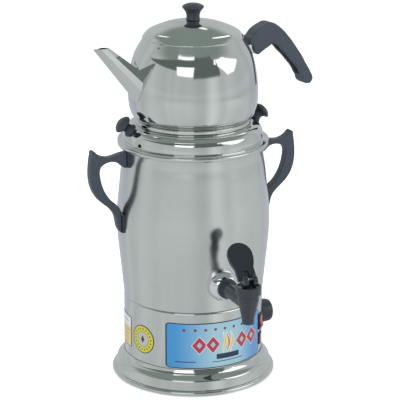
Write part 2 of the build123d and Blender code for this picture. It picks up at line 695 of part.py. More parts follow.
bracket_tilt = 25.0
bracket_h, bracket_wide, bracket_corner, bracket_inset = 15.0, 12.0, 2.5, 8.2
tongue_h, tongue_w, tongue_depth = 9.0, 6.0, 17.0
handle_screw_r, handle_screw_head_r, handle_screw_out = 1.9, 3.4, 8.5
bracket_dir = (radial(pot_handle_azimuth) * cos(radians(bracket_tilt))
               + Vector(0, 0, sin(radians(bracket_tilt))))
bracket_centre = handle_plane.from_local_coords((hx + bracket_inset, hz - bracket_inset))
bracket_plane = Plane(origin=bracket_centre, x_dir=sideways(pot_handle_azimuth), z_dir=bracket_dir)
screw_up = bracket_plane.y_dir
screw_foot = bracket_centre + bracket_dir * handle_screw_out - screw_up * (tongue_h / 2)
screw_plane = Plane(origin=screw_foot, z_dir=-screw_up)
handle_screw_length = 12.0
with BuildPart() as teapot_handle:
    with BuildSketch(handle_plane.offset(-pot_handle_w / 2)):
        add(pot_handle_outline.sketch)
    extrude(amount=pot_handle_w)
    with BuildSketch(handle_plane.offset(-pot_grip_groove / 2)):
        add(grip_groove_outline.sketch)
    extrude(amount=pot_grip_groove, mode=Mode.SUBTRACT)
    with BuildSketch(bracket_plane.offset(-tongue_depth)):
        Rectangle(tongue_w + 2 * skin_gap, tongue_h + 2 * skin_gap)
    extrude(amount=2 * tongue_depth + skin_gap, mode=Mode.SUBTRACT)
    with BuildSketch(screw_plane):
        Circle(handle_screw_r + skin_gap)
    extrude(amount=cut_depth, mode=Mode.SUBTRACT)
    with BuildSketch(screw_plane.offset(handle_screw_length - tongue_h)):
        Circle(handle_screw_head_r + skin_gap)
    extrude(amount=cut_depth, mode=Mode.SUBTRACT)
keep(teapot_handle.part, "teapot_handle")

with BuildPart() as bracket_blank:
    with BuildSketch(bracket_plane.offset(-cut_depth)):
        RectangleRounded(bracket_wide, bracket_h, bracket_corner)
    extrude(amount=cut_depth + pot_handle_w)
    add(pot_skin, mode=Mode.SUBTRACT)
with BuildPart() as handle_keep_out:
    with BuildSketch(handle_plane.offset(-pot_handle_w / 2)):
        add(pot_handle_outline.sketch)
    extrude(amount=pot_handle_w)
with BuildPart() as teapot_handle_bracket:
    add(bracket_blank.part)
    add(handle_keep_out.part, mode=Mode.SUBTRACT)
    with BuildSketch(bracket_plane.offset(-tongue_depth / 2)):
        Rectangle(tongue_w, tongue_h)
    extrude(amount=1.5 * tongue_depth)
    with BuildSketch(screw_plane.offset(-tongue_h)):
        Circle(handle_screw_r)
    extrude(amount=2 * tongue_h, mode=Mode.SUBTRACT)
keep(teapot_handle_bracket.part, "teapot_handle_bracket")

with BuildPart() as teapot_handle_screw:
    with BuildSketch(screw_plane.offset(-tongue_h)):
        Circle(handle_screw_r)
    extrude(amount=handle_screw_length)
    with BuildSketch(screw_plane.offset(handle_screw_length - tongue_h)):
        Circle(handle_screw_head_r)
    extrude(amount=screw_head_h)
keep(teapot_handle_screw.part, "teapot_handle_screw")

# ---------------------------------------------------------------- teapot lid
pot_lid_low_z = pot_mouth_z
pot_lid_apex_z = pot_lid_low_z + pot_lid_lip + pot_lid_rise
pot_lid_screw_r = 2.0
pot_plug_r = pot_mouth_r - pot_ledge - lift_gap
with BuildPart() as teapot_lid:
    with BuildSketch(Plane.XZ):
        with BuildLine():
            Line((0, pot_lid_apex_z), (0, pot_lid_apex_z - sheet))
            Spline(
                (0, pot_lid_apex_z - sheet), (pot_lid_r * 0.45, pot_lid_apex_z - 4.6 - sheet),
                (pot_lid_r * 0.8, pot_lid_apex_z - 14.4 - sheet), (pot_plug_r - sheet, pot_lid_low_z + sheet),
                tangents=((1, 0), (1, -0.4)),
            )
            Polyline(
                (pot_plug_r - sheet, pot_lid_low_z + sheet), (pot_plug_r - sheet, pot_lid_low_z - pot_plug_depth),
                (pot_plug_r, pot_lid_low_z - pot_plug_depth), (pot_plug_r, pot_lid_low_z),
                (pot_lid_r - pot_lid_lip / 2, pot_lid_low_z),
            )
            ThreePointArc(
                (pot_lid_r - pot_lid_lip / 2, pot_lid_low_z), (pot_lid_r, pot_lid_low_z + pot_lid_lip / 2),
                (pot_lid_r - pot_lid_lip / 2, pot_lid_low_z + pot_lid_lip),
            )
            Spline(
                (pot_lid_r - pot_lid_lip / 2, pot_lid_low_z + pot_lid_lip), (pot_lid_r * 0.8, pot_lid_apex_z - 13.4),
                (pot_lid_r * 0.45, pot_lid_apex_z - 4.4), (0, pot_lid_apex_z), tangents=((-1, 0.15), (-1, 0)),
            )
        make_face()
    revolve(axis=Axis.Z)
    with BuildSketch(Plane.XY.offset(pot_lid_apex_z - 5 * sheet)):
        Circle(pot_lid_screw_r + skin_gap)
    extrude(amount=10 * sheet, mode=Mode.SUBTRACT)
keep(teapot_lid.part, "teapot_lid")

pot_knob_z = pot_lid_apex_z
pot_knob_screw_depth = 12.0
with BuildPart() as teapot_lid_knob:
    with BuildSketch(Plane.XZ):
        with BuildLine():
            Polyline((0, pot_knob_z + 1), (0, pot_knob_z + pot_knob_h))
            ThreePointArc(
                (0, pot_knob_z + pot_knob_h), (pot_knob_top_r * 0.6, pot_knob_z + pot_knob_h - 0.8),
                (pot_knob_top_r - 1.6, pot_knob_z + pot_knob_h - 2.6),
            )
            ThreePointArc(
                (pot_knob_top_r - 1.6, pot_knob_z + pot_knob_h - 2.6), (pot_knob_top_r, pot_knob_z + pot_knob_h - 4.6),
                (pot_knob_top_r - 0.7, pot_knob_z + pot_knob_h - 6.4),
            )
            Spline(
                (pot_knob_top_r - 0.7, pot_knob_z + pot_knob_h - 6.4), (pot_knob_waist_r, pot_knob_z + 7),
                (pot_knob_base_r, pot_knob_z + 0.4),
            )
            Line((pot_knob_base_r, pot_knob_z + 0.4), (0, pot_knob_z + 0.4))
            Line((0, pot_knob_z + 0.4), (0, pot_knob_z + 1))
        make_face()
    revolve(axis=Axis.Z)
    with BuildSketch(Plane.XY.offset(pot_knob_z)):
        Circle(pot_lid_screw_r)
    extrude(amount=pot_knob_screw_depth, mode=Mode.SUBTRACT)
keep(teapot_lid_knob.part, "teapot_lid_knob")

with BuildPart() as teapot_lid_screw:
    with BuildSketch(Plane.XY.offset(pot_lid_apex_z - sheet - screw_head_h - 0.1)):
        Circle(lid_screw_head_r)
    extrude(amount=screw_head_h)
    with BuildSketch(Plane.XY.offset(pot_lid_apex_z - sheet - screw_head_h - 0.1)):
        Circle(pot_lid_screw_r)
    extrude(amount=screw_head_h + sheet + pot_knob_screw_depth)
keep(teapot_lid_screw.part, "teapot_lid_screw")

# ================================================================ tap
tap_plane = side_plane(0)
shank_axis = Axis((0, 0, tap_z), (0, -1, 0))
tap_axis = Axis((0, -tap_reach, 0), (0, 0, 1))


def tap_level(height):
    """Level plane on the tap's own upright axis."""
    return Plane(origin=(0, -tap_reach, height))


dome_skirt = 3.0
nose_r = tap_wall_r + dome_depth
with BuildPart() as tap_escutcheon:
    with BuildSketch(tap_plane):
        with BuildLine():
            Line((tap_wall_r - 2 * dome_skirt, tap_z + dome_r), (tap_wall_r + dome_skirt, tap_z + dome_r))
            ThreePointArc(
                (tap_wall_r + dome_skirt, tap_z + dome_r),
                (tap_wall_r + 0.65 * dome_depth, tap_z + dome_nose_r + 0.74 * (dome_r - dome_nose_r)),
                (nose_r, tap_z + dome_nose_r),
            )
            Polyline(
                (nose_r, tap_z + dome_nose_r), (nose_r, tap_z + shank_r + skin_gap),
                (nose_r - sheet, tap_z + shank_r + skin_gap), (nose_r - sheet, tap_z + dome_nose_r - sheet / 2),
            )
            ThreePointArc(
                (nose_r - sheet, tap_z + dome_nose_r - sheet / 2),
                (tap_wall_r + 0.65 * dome_depth - sheet / 2,
                 tap_z + dome_nose_r + 0.74 * (dome_r - dome_nose_r) - 0.9 * sheet),
                (tap_wall_r + dome_skirt, tap_z + dome_r - sheet),
            )
            Polyline(
                (tap_wall_r + dome_skirt, tap_z + dome_r - sheet),
                (tap_wall_r - 2 * dome_skirt, tap_z + dome_r - sheet), (tap_wall_r - 2 * dome_skirt, tap_z + dome_r),
            )
        make_face()
    revolve(axis=shank_axis)
    add(barrel_skin, mode=Mode.SUBTRACT)
keep(tap_escutcheon.part, "tap_escutcheon")

gasket_r, gasket_back = 13.0, 5.5
tap_nut_flats, tap_nut_h, shank_tail = 24.0, 6.0, 3.0
shank_in_r = tap_wall_r - gasket_back - tap_nut_h - shank_tail
nozzle_straight, tap_shoulder = 6.0, 8.0
with BuildPart() as tap_body:
    with BuildSketch(tap_plane):
        with BuildLine():
            Polyline(
                (shank_in_r, tap_z), (shank_in_r, tap_z + shank_r), (nose_r, tap_z + shank_r),
                (nose_r, tap_z + tap_flange_r), (nose_r + tap_flange_t, tap_z + tap_flange_r),
                (nose_r + tap_flange_t, tap_z + tap_arm_r), (tap_reach, tap_z + tap_arm_r), (tap_reach, tap_z),
                close=True,
            )
        make_face()
    revolve(axis=shank_axis)
    with BuildSketch(tap_plane):
        with BuildLine():
            Polyline(
                (tap_reach, nozzle_z), (tap_reach + nozzle_r, nozzle_z),
                (tap_reach + nozzle_r, nozzle_z + nozzle_straight),
                (tap_reach + tap_top_r, tap_top_z - tap_shoulder), (tap_reach + tap_top_r, tap_top_z),
                (tap_reach, tap_top_z), close=True,
            )
        make_face()
    revolve(axis=tap_axis)
    with BuildSketch(tap_level(nozzle_z)):
        Circle(nozzle_bore_r)
    extrude(amount=seat_z - nozzle_z, mode=Mode.SUBTRACT)
    with BuildSketch(tap_level(seat_z)):
        Circle(chamber_r)
    extrude(amount=tap_top_z - seat_z, mode=Mode.SUBTRACT)
    with BuildSketch(wall_plane(0, shank_in_r, tap_z)):
        Circle(shank_bore_r)
    extrude(amount=tap_reach - shank_in_r, mode=Mode.SUBTRACT)
keep(tap_body.part, "tap_body")

with BuildPart() as tap_gasket:
    with BuildSketch(wall_plane(0, tap_wall_r - gasket_back, tap_z)):
        Circle(gasket_r)
        Circle(shank_r + skin_gap, mode=Mode.SUBTRACT)
    extrude(amount=gasket_back)
    add(barrel_hollow, mode=Mode.INTERSECT)
keep(tap_gasket.part, "tap_gasket")

with BuildPart() as tap_nut:
    with BuildSketch(wall_plane(0, tap_wall_r - gasket_back - tap_nut_h, tap_z)):
        RegularPolygon(tap_nut_flats / 2, 6, major_radius=False)
        Circle(shank_r, mode=Mode.SUBTRACT)
    extrude(amount=tap_nut_h)
keep(tap_nut.part, "tap_nut")

bonnet_floor_z = tap_top_z + bonnet_h - bonnet_recess
spigot_z = tap_top_z - bonnet_spigot
with BuildPart() as tap_bonnet:
    with BuildSketch(tap_level(tap_top_z)):
        Circle(bonnet_r)
    extrude(amount=bonnet_h)
    fillet(tap_bonnet.edges(), bonnet_round)
    with BuildSketch(tap_level(spigot_z)):
        Circle(chamber_r - skin_gap)
    extrude(amount=bonnet_spigot)
    with BuildSketch(tap_level(bonnet_floor_z)):
        Circle(bonnet_recess_r)
    extrude(amount=bonnet_recess, mode=Mode.SUBTRACT)
    with BuildSketch(tap_level(spigot_z)):
        Circle(stem_r + running_gap)
    extrude(amount=bonnet_spigot + bonnet_h, mode=Mode.SUBTRACT)
keep(tap_bonnet.part, "tap_bonnet")

# The lever turns on a pin through the stem, and its two round cheeks roll on the bonnet's floor.
# The cheeks are off centre, so the pin and the stem rise by stem_lift over the lever's swing.
cam_offset = stem_lift / (cos(radians(cam_phase)) - cos(radians(cam_phase + lever_swing)))
pin_z = bonnet_floor_z + cam_gap + cam_r - cam_offset * cos(radians(cam_phase))
cup_z = seat_z + seat_gap
cup_top_z = cup_z + cup_h
with BuildPart() as tap_seat_cup:
    with BuildSketch(tap_level(cup_z)):
        Circle(cup_r)
    extrude(amount=cup_h)
    with BuildSketch(tap_level(cup_top_z - cup_socket)):
        Circle(stem_r)
    extrude(amount=cup_socket, mode=Mode.SUBTRACT)
keep(tap_seat_cup.part, "tap_seat_cup")

pin_plane = Plane(origin=(-pin_length / 2, -tap_reach, pin_z), z_dir=(1, 0, 0))
with BuildPart() as tap_stem:
    with BuildSketch(tap_level(cup_top_z - cup_socket)):
        Circle(stem_r)
    extrude(amount=pin_z + stem_top - cup_top_z + cup_socket)
    with BuildSketch(pin_plane):
        Circle(pin_r)
    extrude(amount=pin_length, mode=Mode.SUBTRACT)
keep(tap_stem.part, "tap_stem")

with BuildPart() as tap_lever_pin:
    with BuildSketch(pin_plane):
        Circle(pin_r)
    extrude(amount=pin_length)
keep(tap_lever_pin.part, "tap_lever_pin")

spring_low_z = cup_top_z + spring_wire_r + skin_gap
spring_high_z = spigot_z - spring_wire_r - skin_gap
with BuildPart() as tap_spring:
    with BuildLine() as spring_coil:
        Helix((spring_high_z - spring_low_z) / spring_turns, spring_high_z - spring_low_z, spring_r,
              center=(0, -tap_reach, spring_low_z))
    with BuildSketch(Plane(origin=spring_coil.line @ 0, z_dir=spring_coil.line % 0)):
        Circle(spring_wire_r)
    sweep(is_frenet=True)
keep(tap_spring.part, "tap_spring")

lever_lean_dir = Vector(0, -cos(radians(lever_lean)), sin(radians(lever_lean)))
lever_plane = Plane(origin=(0, -tap_reach, pin_z), x_dir=(1, 0, 0), z_dir=lever_lean_dir)
cam_y = -tap_reach - cam_offset * sin(radians(cam_phase))
cam_z = pin_z + cam_offset * cos(radians(cam_phase))
lever_side = [
    (lever_base_w / 2, cam_r), (lever_base_w / 2 + 0.3 * (lever_w - lever_base_w) / 2, 0.32 * lever_length),
    (lever_w / 2, lever_length - 1.1 * lever_w / 2),
]
with BuildPart() as tap_lever:
    with BuildSketch(lever_plane.offset(-lever_t / 2)):
        with BuildLine():
            Polyline((lever_base_w / 2, cam_r), (lever_base_w / 2, 0), (-lever_base_w / 2, 0), (-lever_base_w / 2, cam_r))
            Spline(*lever_side, tangents=((0, 1), (0, 1)))
            ThreePointArc(lever_side[-1], (0, lever_length), (-lever_side[-1][0], lever_side[-1][1]))
            Spline(*[(-x, y) for x, y in lever_side], tangents=((0, 1), (0, 1)))
        make_face()
    extrude(amount=lever_t)
    with BuildSketch(Plane(origin=(-lever_base_w / 2, cam_y, cam_z), z_dir=(1, 0, 0))):
        Circle(cam_r)
    extrude(amount=lever_base_w)
    with BuildSketch(lever_plane.offset(-2 * cam_r)):
        with Locations((0, fork_depth / 2 - cam_r)):
            Rectangle(fork_gap, fork_depth + 2 * cam_r)
    extrude(amount=4 * cam_r, mode=Mode.SUBTRACT)
    with BuildSketch(pin_plane):
        Circle(pin_r + running_gap)
    extrude(amount=pin_length, mode=Mode.SUBTRACT)
keep(tap_lever.part, "tap_lever")

# ================================================================ side handles
top_pad_z = side_handle_top_z - top_pad_h / 2
low_pad_z = side_handle_low_z + low_pad_h / 2
tx, tz = radius_at(barrel_outline, top_pad_z) + top_bracket_t, side_handle_top_z
lx, lz = radius_at(barrel_outline, low_pad_z) + low_bracket_t, side_handle_low_z
gx = side_grip_r
with BuildSketch() as side_handle_outline:
    with BuildLine():
        Spline((tx, tz), (tx + 10.8, tz - 1.5), (tx + 24.8, tz - 4.3), (gx - 14.6, tz - 1), (gx - 7.6, tz + 5.5))
        ThreePointArc((gx - 7.6, tz + 5.5), (gx - 4, tz + 5.7), (gx - 2.6, tz + 1.5))
        Spline(
            (gx - 2.6, tz + 1.5), (gx, tz - 18.5), (gx - 3.1, tz - 46), (lx + 29.8, lz + 47.3),
            (lx + 11.3, lz + 29.3), (lx + 7.3, lz + 18.8), (lx + 5.3, lz + 7.8), (lx, lz),
        )
        Line((lx, lz), (lx, lz + low_pad_h))
        Spline(
            (lx, lz + low_pad_h), (lx + 3.3, lz + 36.3), (lx + 13.8, lz + 46.8), (gx - 20.1, tz - 49.5),
            (gx - 14.3, tz - 29.5), (gx - 15.6, tz - 16.5), (gx - 24.6, tz - 11.2), (tx + 12.8, tz - 13),
            (tx + 5.8, tz - 19), (tx, tz - top_pad_h),
        )
        Line((tx, tz - top_pad_h), (tx, tz))
    make_face()

pads = [(tx, top_pad_z, top_pad_h, top_stud_depth), (lx, low_pad_z, low_pad_h, low_stud_depth)]
screw_places = [(pad_x + depth / 2, pad_z) for pad_x, pad_z, _, depth in pads]
with BuildPart() as side_handle:
    with BuildSketch(Plane.XZ.offset(-side_handle_w / 2)):
        add(side_handle_outline.sketch)
    extrude(amount=side_handle_w)
    for pad_x, pad_z, _, depth in pads:
        with BuildSketch(wall_plane(90, pad_x, pad_z)):
            Circle(stud_r + skin_gap)
        extrude(amount=depth + skin_gap, mode=Mode.SUBTRACT)
    with BuildSketch(Plane.XZ.offset(-side_handle_w / 2)):
        with Locations(*screw_places):
            Circle(grub_r)
    extrude(amount=side_handle_w / 2, mode=Mode.SUBTRACT)
keep(side_handle.part, "side_handle_right")
keep(side_handle.part.mirror(Plane.YZ), "side_handle_left")

bracket_margin = 1.0
with BuildPart() as right_brackets:
    for pad_x, pad_z, pad_h, _ in pads:
        with BuildSketch(wall_plane(90, pad_x - cut_depth / 2, pad_z)):
            Rectangle(bracket_w, pad_h - 2 * bracket_margin)
        extrude(amount=cut_depth / 2)
    add(barrel_skin, mode=Mode.SUBTRACT)
    for pad_x, pad_z, _, depth in pads:
        with BuildSketch(wall_plane(90, pad_x, pad_z)):
            Circle(stud_r)
        extrude(amount=depth)
with BuildPart() as side_handle_brackets:
    add(right_brackets.part)
    mirror(about=Plane.YZ)
keep(side_handle_brackets.part, "side_handle_brackets")

grub_length = side_handle_w / 2 - stud_r - grub_sunk
with BuildPart() as side_handle_screws:
    with BuildSketch(Plane.XZ.offset(-stud_r - grub_length)):
        with Locations(*screw_places, *[(-x, z) for x, z in screw_places]):
            Circle(grub_r)
            RegularPolygon(grub_key / 2, 6, major_radius=False, mode=Mode.SUBTRACT)
    extrude(amount=grub_length)
keep(side_handle_screws.part, "side_handle_screws")

# ================================================================ controls
base_skin = ring(0, base_r + skin_gap, 0, base_top_z)
base_hollow = ring(0, base_r - sheet - skin_gap, 0, base_top_z)


def wall_saddle(outline, azimuth, height, proud, sunk=8.0):
    """Block with a flat front that stands proud of the base wall, and a back that fits the wall."""
    with BuildPart() as saddle:
        with BuildSketch(wall_plane(azimuth, base_r - sunk, height)):
            add(outline)
        extrude(amount=sunk + proud)
        add(base_skin, mode=Mode.SUBTRACT)
    return saddle.part


knob_low_r = base_r + bezel_t + knob_lift
knob_plane = side_plane(knob_azimuth)
knob_axis = Axis((0, 0, knob_z), radial(knob_azimuth))
thermostat_front_r = sqrt((base_r - sheet) ** 2 - (thermostat_w / 2) ** 2) - lift_gap
boss_end_r = base_r + bezel_t - skin_gap
bezel_saddle = wall_saddle(Circle(bezel_r), knob_azimuth, knob_z, bezel_t)
with BuildPart() as thermostat_bezel:
    add(bezel_saddle)
    with BuildSketch(wall_cut(knob_azimuth, knob_z)):
        Circle(thermostat_boss_r + skin_gap)
        with Locations((-thermostat_screw_x, 0), (thermostat_screw_x, 0)):
            Circle(thermostat_screw_r + skin_gap)
    extrude(amount=cut_depth, mode=Mode.SUBTRACT)
keep(thermostat_bezel.part, "thermostat_bezel")

with BuildPart() as thermostat_body:
    with BuildSketch(wall_plane(knob_azimuth, thermostat_front_r - thermostat_depth, knob_z)):
        Rectangle(thermostat_w, thermostat_w)
    extrude(amount=thermostat_depth)
    with BuildSketch(wall_plane(knob_azimuth, thermostat_front_r, knob_z)):
        Circle(thermostat_boss_r)
    extrude(amount=boss_end_r - thermostat_front_r)
    with BuildSketch(wall_plane(knob_azimuth, thermostat_front_r - shaft_sunk, knob_z)):
        Circle(knob_shaft_r + running_gap)
    extrude(amount=cut_depth, mode=Mode.SUBTRACT)
    with BuildSketch(wall_plane(knob_azimuth, thermostat_front_r - thermostat_screw_bite, knob_z)):
        with Locations((-thermostat_screw_x, 0), (thermostat_screw_x, 0)):
            Circle(thermostat_screw_r)
    extrude(amount=thermostat_screw_bite, mode=Mode.SUBTRACT)
keep(thermostat_body.part, "thermostat_body")

with BuildPart() as thermostat_screws:
    with BuildSketch(wall_plane(knob_azimuth, thermostat_front_r - thermostat_screw_bite, knob_z)):
        with Locations((-thermostat_screw_x, 0), (thermostat_screw_x, 0)):
            Circle(thermostat_screw_r)
    extrude(amount=base_r + bezel_t - thermostat_front_r + thermostat_screw_bite)
    with BuildSketch(wall_plane(knob_azimuth, base_r + bezel_t, knob_z)):
        with Locations((-thermostat_screw_x, 0), (thermostat_screw_x, 0)):
            Circle(thermostat_screw_head_r)
    extrude(amount=screw_head_h)
keep(thermostat_screws.part, "thermostat_screws")

with BuildPart() as thermostat_shaft:
    with BuildSketch(wall_plane(knob_azimuth, thermostat_front_r - shaft_sunk + skin_gap, knob_z)):
        Circle(knob_shaft_r)
    extrude(amount=knob_low_r + knob_socket - thermostat_front_r + shaft_sunk - skin_gap)
keep(thermostat_shaft.part, "thermostat_shaft")

# The knob is a hollow cap round a hub, so it covers the two screw heads.
cavity_r, cavity_depth, hub_r = knob_grip_r - knob_wall, 7.5, 5.6
with BuildPart() as thermostat_knob:
    with BuildSketch(knob_plane):
        with BuildLine():
            Polyline(
                (knob_low_r + knob_h, knob_z), (knob_low_r + knob_socket, knob_z),
                (knob_low_r + knob_socket, knob_z + knob_shaft_r), (knob_low_r, knob_z + knob_shaft_r),
                (knob_low_r, knob_z + hub_r), (knob_low_r + cavity_depth, knob_z + hub_r),
                (knob_low_r + cavity_depth, knob_z + cavity_r), (knob_low_r + knob_skirt_t, knob_z + cavity_r),
                (knob_low_r, knob_z + knob_r - knob_wall), (knob_low_r, knob_z + knob_r),
                (knob_low_r + knob_skirt_t - 1, knob_z + knob_r), (knob_low_r + knob_skirt_t, knob_z + knob_r - 1),
                (knob_low_r + knob_skirt_t, knob_z + knob_grip_r),
            )
            Spline(
                (knob_low_r + knob_skirt_t, knob_z + knob_grip_r),
                (knob_low_r + 0.6 * knob_h, knob_z + knob_grip_r - 0.6),
                (knob_low_r + 0.87 * knob_h, knob_z + 0.86 * knob_grip_r),
                (knob_low_r + 0.975 * knob_h, knob_z + 0.5 * knob_grip_r),
                (knob_low_r + knob_h, knob_z), tangents=((1, 0), (0, -1)),
            )
        make_face()
    revolve(axis=knob_axis)
keep(thermostat_knob.part, "thermostat_knob")

bulb_r, bulb_length, capillary_r, capillary_stand_off = 3.0, 30.0, 1.1, 8.0
thermostat_back = thermostat_front_r - thermostat_depth
bulb_start = Vector(bulb_out_r, 0, floor_z - bulb_r - skin_gap)
capillary_x = thermostat_back - capillary_stand_off
capillary = bent_rod([
    Vector(thermostat_back, 0, knob_z + thermostat_w / 4), Vector(capillary_x, 0, knob_z + thermostat_w / 4),
    Vector(capillary_x, 0, bulb_start.Z), bulb_start,
], capillary_r, 3 * capillary_r)
with BuildPart() as thermostat_capillary:
    add(capillary)
    with BuildSketch(Plane(origin=bulb_start, z_dir=(-1, 0, 0))):
        Circle(bulb_r)
    extrude(amount=bulb_length)
keep(thermostat_capillary.part, "thermostat_capillary")

# The rocker tips on two side pins; its front is a shallow V, and one end is always in.
rocker_depth, rocker_wall, rocker_play = 12.0, 1.2, 0.6
rocker_cell_w, rocker_cell_h = rocker_w + rocker_play, rocker_h + 2 * rocker_play
rocker_pivot_r = base_r + rocker_pivot
rocker_saddle = wall_saddle(Rectangle(rocker_frame_w, rocker_frame_h), switch_azimuth, rocker_z, rocker_frame_t)
with BuildPart() as rocker_frame:
    add(rocker_saddle)
    with BuildSketch(wall_plane(switch_azimuth, base_r - rocker_depth, rocker_z)):
        Rectangle(rocker_hole_w, rocker_hole_h)
    extrude(amount=rocker_depth + rocker_frame_t)
    with BuildSketch(wall_plane(switch_azimuth, base_r - rocker_depth + rocker_wall, rocker_z)):
        Rectangle(rocker_cell_w, rocker_cell_h)
    extrude(amount=cut_depth, mode=Mode.SUBTRACT)
    with BuildSketch(Plane(origin=radial(switch_azimuth) * rocker_pivot_r
                           - sideways(switch_azimuth) * (rocker_cell_w / 2 + rocker_pin) + Vector(0, 0, rocker_z),
                           z_dir=sideways(switch_azimuth))):
        Circle(rocker_pin_r + running_gap)
    extrude(amount=rocker_cell_w + 2 * rocker_pin, mode=Mode.SUBTRACT)
keep(rocker_frame.part, "rocker_frame")

rocker_out = (radial(switch_azimuth) * cos(radians(rocker_tilt / 2))
              + Vector(0, 0, sin(radians(rocker_tilt / 2))))
rocker_plane = Plane(origin=radial(switch_azimuth) * rocker_pivot_r + Vector(0, 0, rocker_z),
                     x_dir=rocker_out, z_dir=-sideways(switch_azimuth))
rocker_front, rocker_end, rocker_back = rocker_proud - rocker_pivot - 1.4, rocker_proud - rocker_pivot, 5.0
with BuildPart() as rocker:
    with BuildSketch(rocker_plane.offset(-rocker_w / 2)):
        with BuildLine():
            Polyline(
                (rocker_front, 0), (rocker_end, rocker_h / 2), (0, rocker_h / 2), (-rocker_back, rocker_h / 4),
                (-rocker_back, -rocker_h / 4), (0, -rocker_h / 2), (rocker_end, -rocker_h / 2), close=True,
            )
        make_face()
    extrude(amount=rocker_w)
    with BuildSketch(rocker_plane.offset(-rocker_w / 2 - rocker_pin)):
        Circle(rocker_pin_r)
    extrude(amount=rocker_w + 2 * rocker_pin)
keep(rocker.part, "rocker")

lamp_depth, lamp_wall, lamp_flange = 12.0, 1.2, 1.0
lamp_saddle = wall_saddle(Rectangle(lamp_w, lamp_h), switch_azimuth, lamp_z, lamp_flange)
with BuildPart() as pilot_lamp_bezel:
    add(lamp_saddle)
    with BuildSketch(wall_plane(switch_azimuth, base_r - lamp_depth, lamp_z)):
        Rectangle(lamp_hole_w, lamp_hole_h)
    extrude(amount=lamp_depth + lamp_flange)
    with BuildSketch(wall_plane(switch_azimuth, base_r - lamp_depth + lamp_wall, lamp_z)):
        Rectangle(lamp_hole_w - 2 * lamp_wall, lamp_hole_h - 2 * lamp_wall)
    extrude(amount=cut_depth, mode=Mode.SUBTRACT)
keep(pilot_lamp_bezel.part, "pilot_lamp_bezel")

with BuildPart() as pilot_lamp_lens:
    with BuildSketch(wall_plane(switch_azimuth, base_r - lamp_depth + lamp_wall, lamp_z)):
        Rectangle(lamp_hole_w - 2 * lamp_wall - skin_gap, lamp_hole_h - 2 * lamp_wall - skin_gap)
    extrude(amount=lamp_depth - lamp_wall + lamp_proud)
keep(pilot_lamp_lens.part, "pilot_lamp_lens")

# ================================================================ power inlet and wiring
inlet_front_r = base_r + inlet_proud
inlet_back_r = inlet_front_r - socket_depth - 3 * sheet
inlet_saddle = wall_saddle(RectangleRounded(inlet_w, inlet_h, inlet_corner), 180, inlet_z, inlet_proud)
with BuildPart() as power_inlet:
    add(inlet_saddle)
    with BuildSketch(wall_plane(180, inlet_back_r, inlet_z)):
        Rectangle(inlet_hole_w, inlet_hole_h)
    extrude(amount=inlet_front_r - inlet_back_r)
    with BuildSketch(wall_plane(180, inlet_front_r - socket_depth, inlet_z)):
        Rectangle(socket_w, socket_h)
    extrude(amount=socket_depth, mode=Mode.SUBTRACT)
    with BuildSketch(wall_plane(180, inlet_back_r, inlet_z)):
        with Locations(*inlet_pin_places):
            Rectangle(inlet_pin_t, inlet_pin_w)
    extrude(amount=3 * sheet, mode=Mode.SUBTRACT)
    with BuildSketch(wall_plane(180, inlet_back_r, inlet_z)):
        with Locations((-inlet_screw_x, 0), (inlet_screw_x, 0)):
            Circle(inlet_screw_r + skin_gap)
    extrude(amount=cut_depth, mode=Mode.SUBTRACT)
keep(power_inlet.part, "power_inlet")

with BuildPart() as inlet_pins:
    with BuildSketch(wall_plane(180, inlet_back_r - inlet_tag, inlet_z)):
        with Locations(*inlet_pin_places):
            Rectangle(inlet_pin_t, inlet_pin_w)
    extrude(amount=inlet_tag + 3 * sheet + inlet_pin_length)
keep(inlet_pins.part, "inlet_pins")

inlet_nut_r = base_r - 9.0
with BuildPart() as inlet_screws:
    with BuildSketch(wall_plane(180, inlet_nut_r, inlet_z)):
        with Locations((-inlet_screw_x, 0), (inlet_screw_x, 0)):
            Circle(inlet_screw_r)
    extrude(amount=inlet_front_r - inlet_nut_r)
    with BuildSketch(wall_plane(180, inlet_front_r, inlet_z)):
        with Locations((-inlet_screw_x, 0), (inlet_screw_x, 0)):
            Circle(inlet_screw_head_r)
            Rectangle(2 * inlet_screw_head_r, slot_w, mode=Mode.SUBTRACT)
    extrude(amount=inlet_screw_head_h)
keep(inlet_screws.part, "inlet_screws")

with BuildPart() as inlet_nuts:
    with BuildSketch(wall_plane(180, inlet_nut_r + 1, inlet_z)):
        with Locations((-inlet_screw_x, 0), (inlet_screw_x, 0)):
            RegularPolygon(inlet_nut_flats / 2, 6, major_radius=False)
            Circle(inlet_screw_r, mode=Mode.SUBTRACT)
    extrude(amount=9.0)
    add(base_hollow, mode=Mode.INTERSECT)
keep(inlet_nuts.part, "inlet_nuts")

block_top_z = cover_top_z + block_h
with BuildPart() as terminal_block:
    with BuildSketch(Plane.XY.offset(cover_top_z)):
        Rectangle(block_w, block_d)
    extrude(amount=block_h)
    with BuildSketch(Plane.XY.offset(cover_top_z)):
        Circle(cover_screw_r)
    extrude(amount=block_screw_bite, mode=Mode.SUBTRACT)
keep(terminal_block.part, "terminal_block")

with BuildPart() as terminal_block_screw:
    with BuildSketch(Plane.XY.offset(cover_z - screw_head_h)):
        Circle(cover_screw_head_r)
    extrude(amount=screw_head_h)
    with BuildSketch(Plane.XY.offset(cover_z - screw_head_h)):
        Rectangle(2 * cover_screw_head_r, slot_w)
    extrude(amount=slot_depth, mode=Mode.SUBTRACT)
    with BuildSketch(Plane.XY.offset(cover_z)):
        Circle(cover_screw_r)
    extrude(amount=sheet + block_screw_bite)
keep(terminal_block_screw.part, "terminal_block_screw")


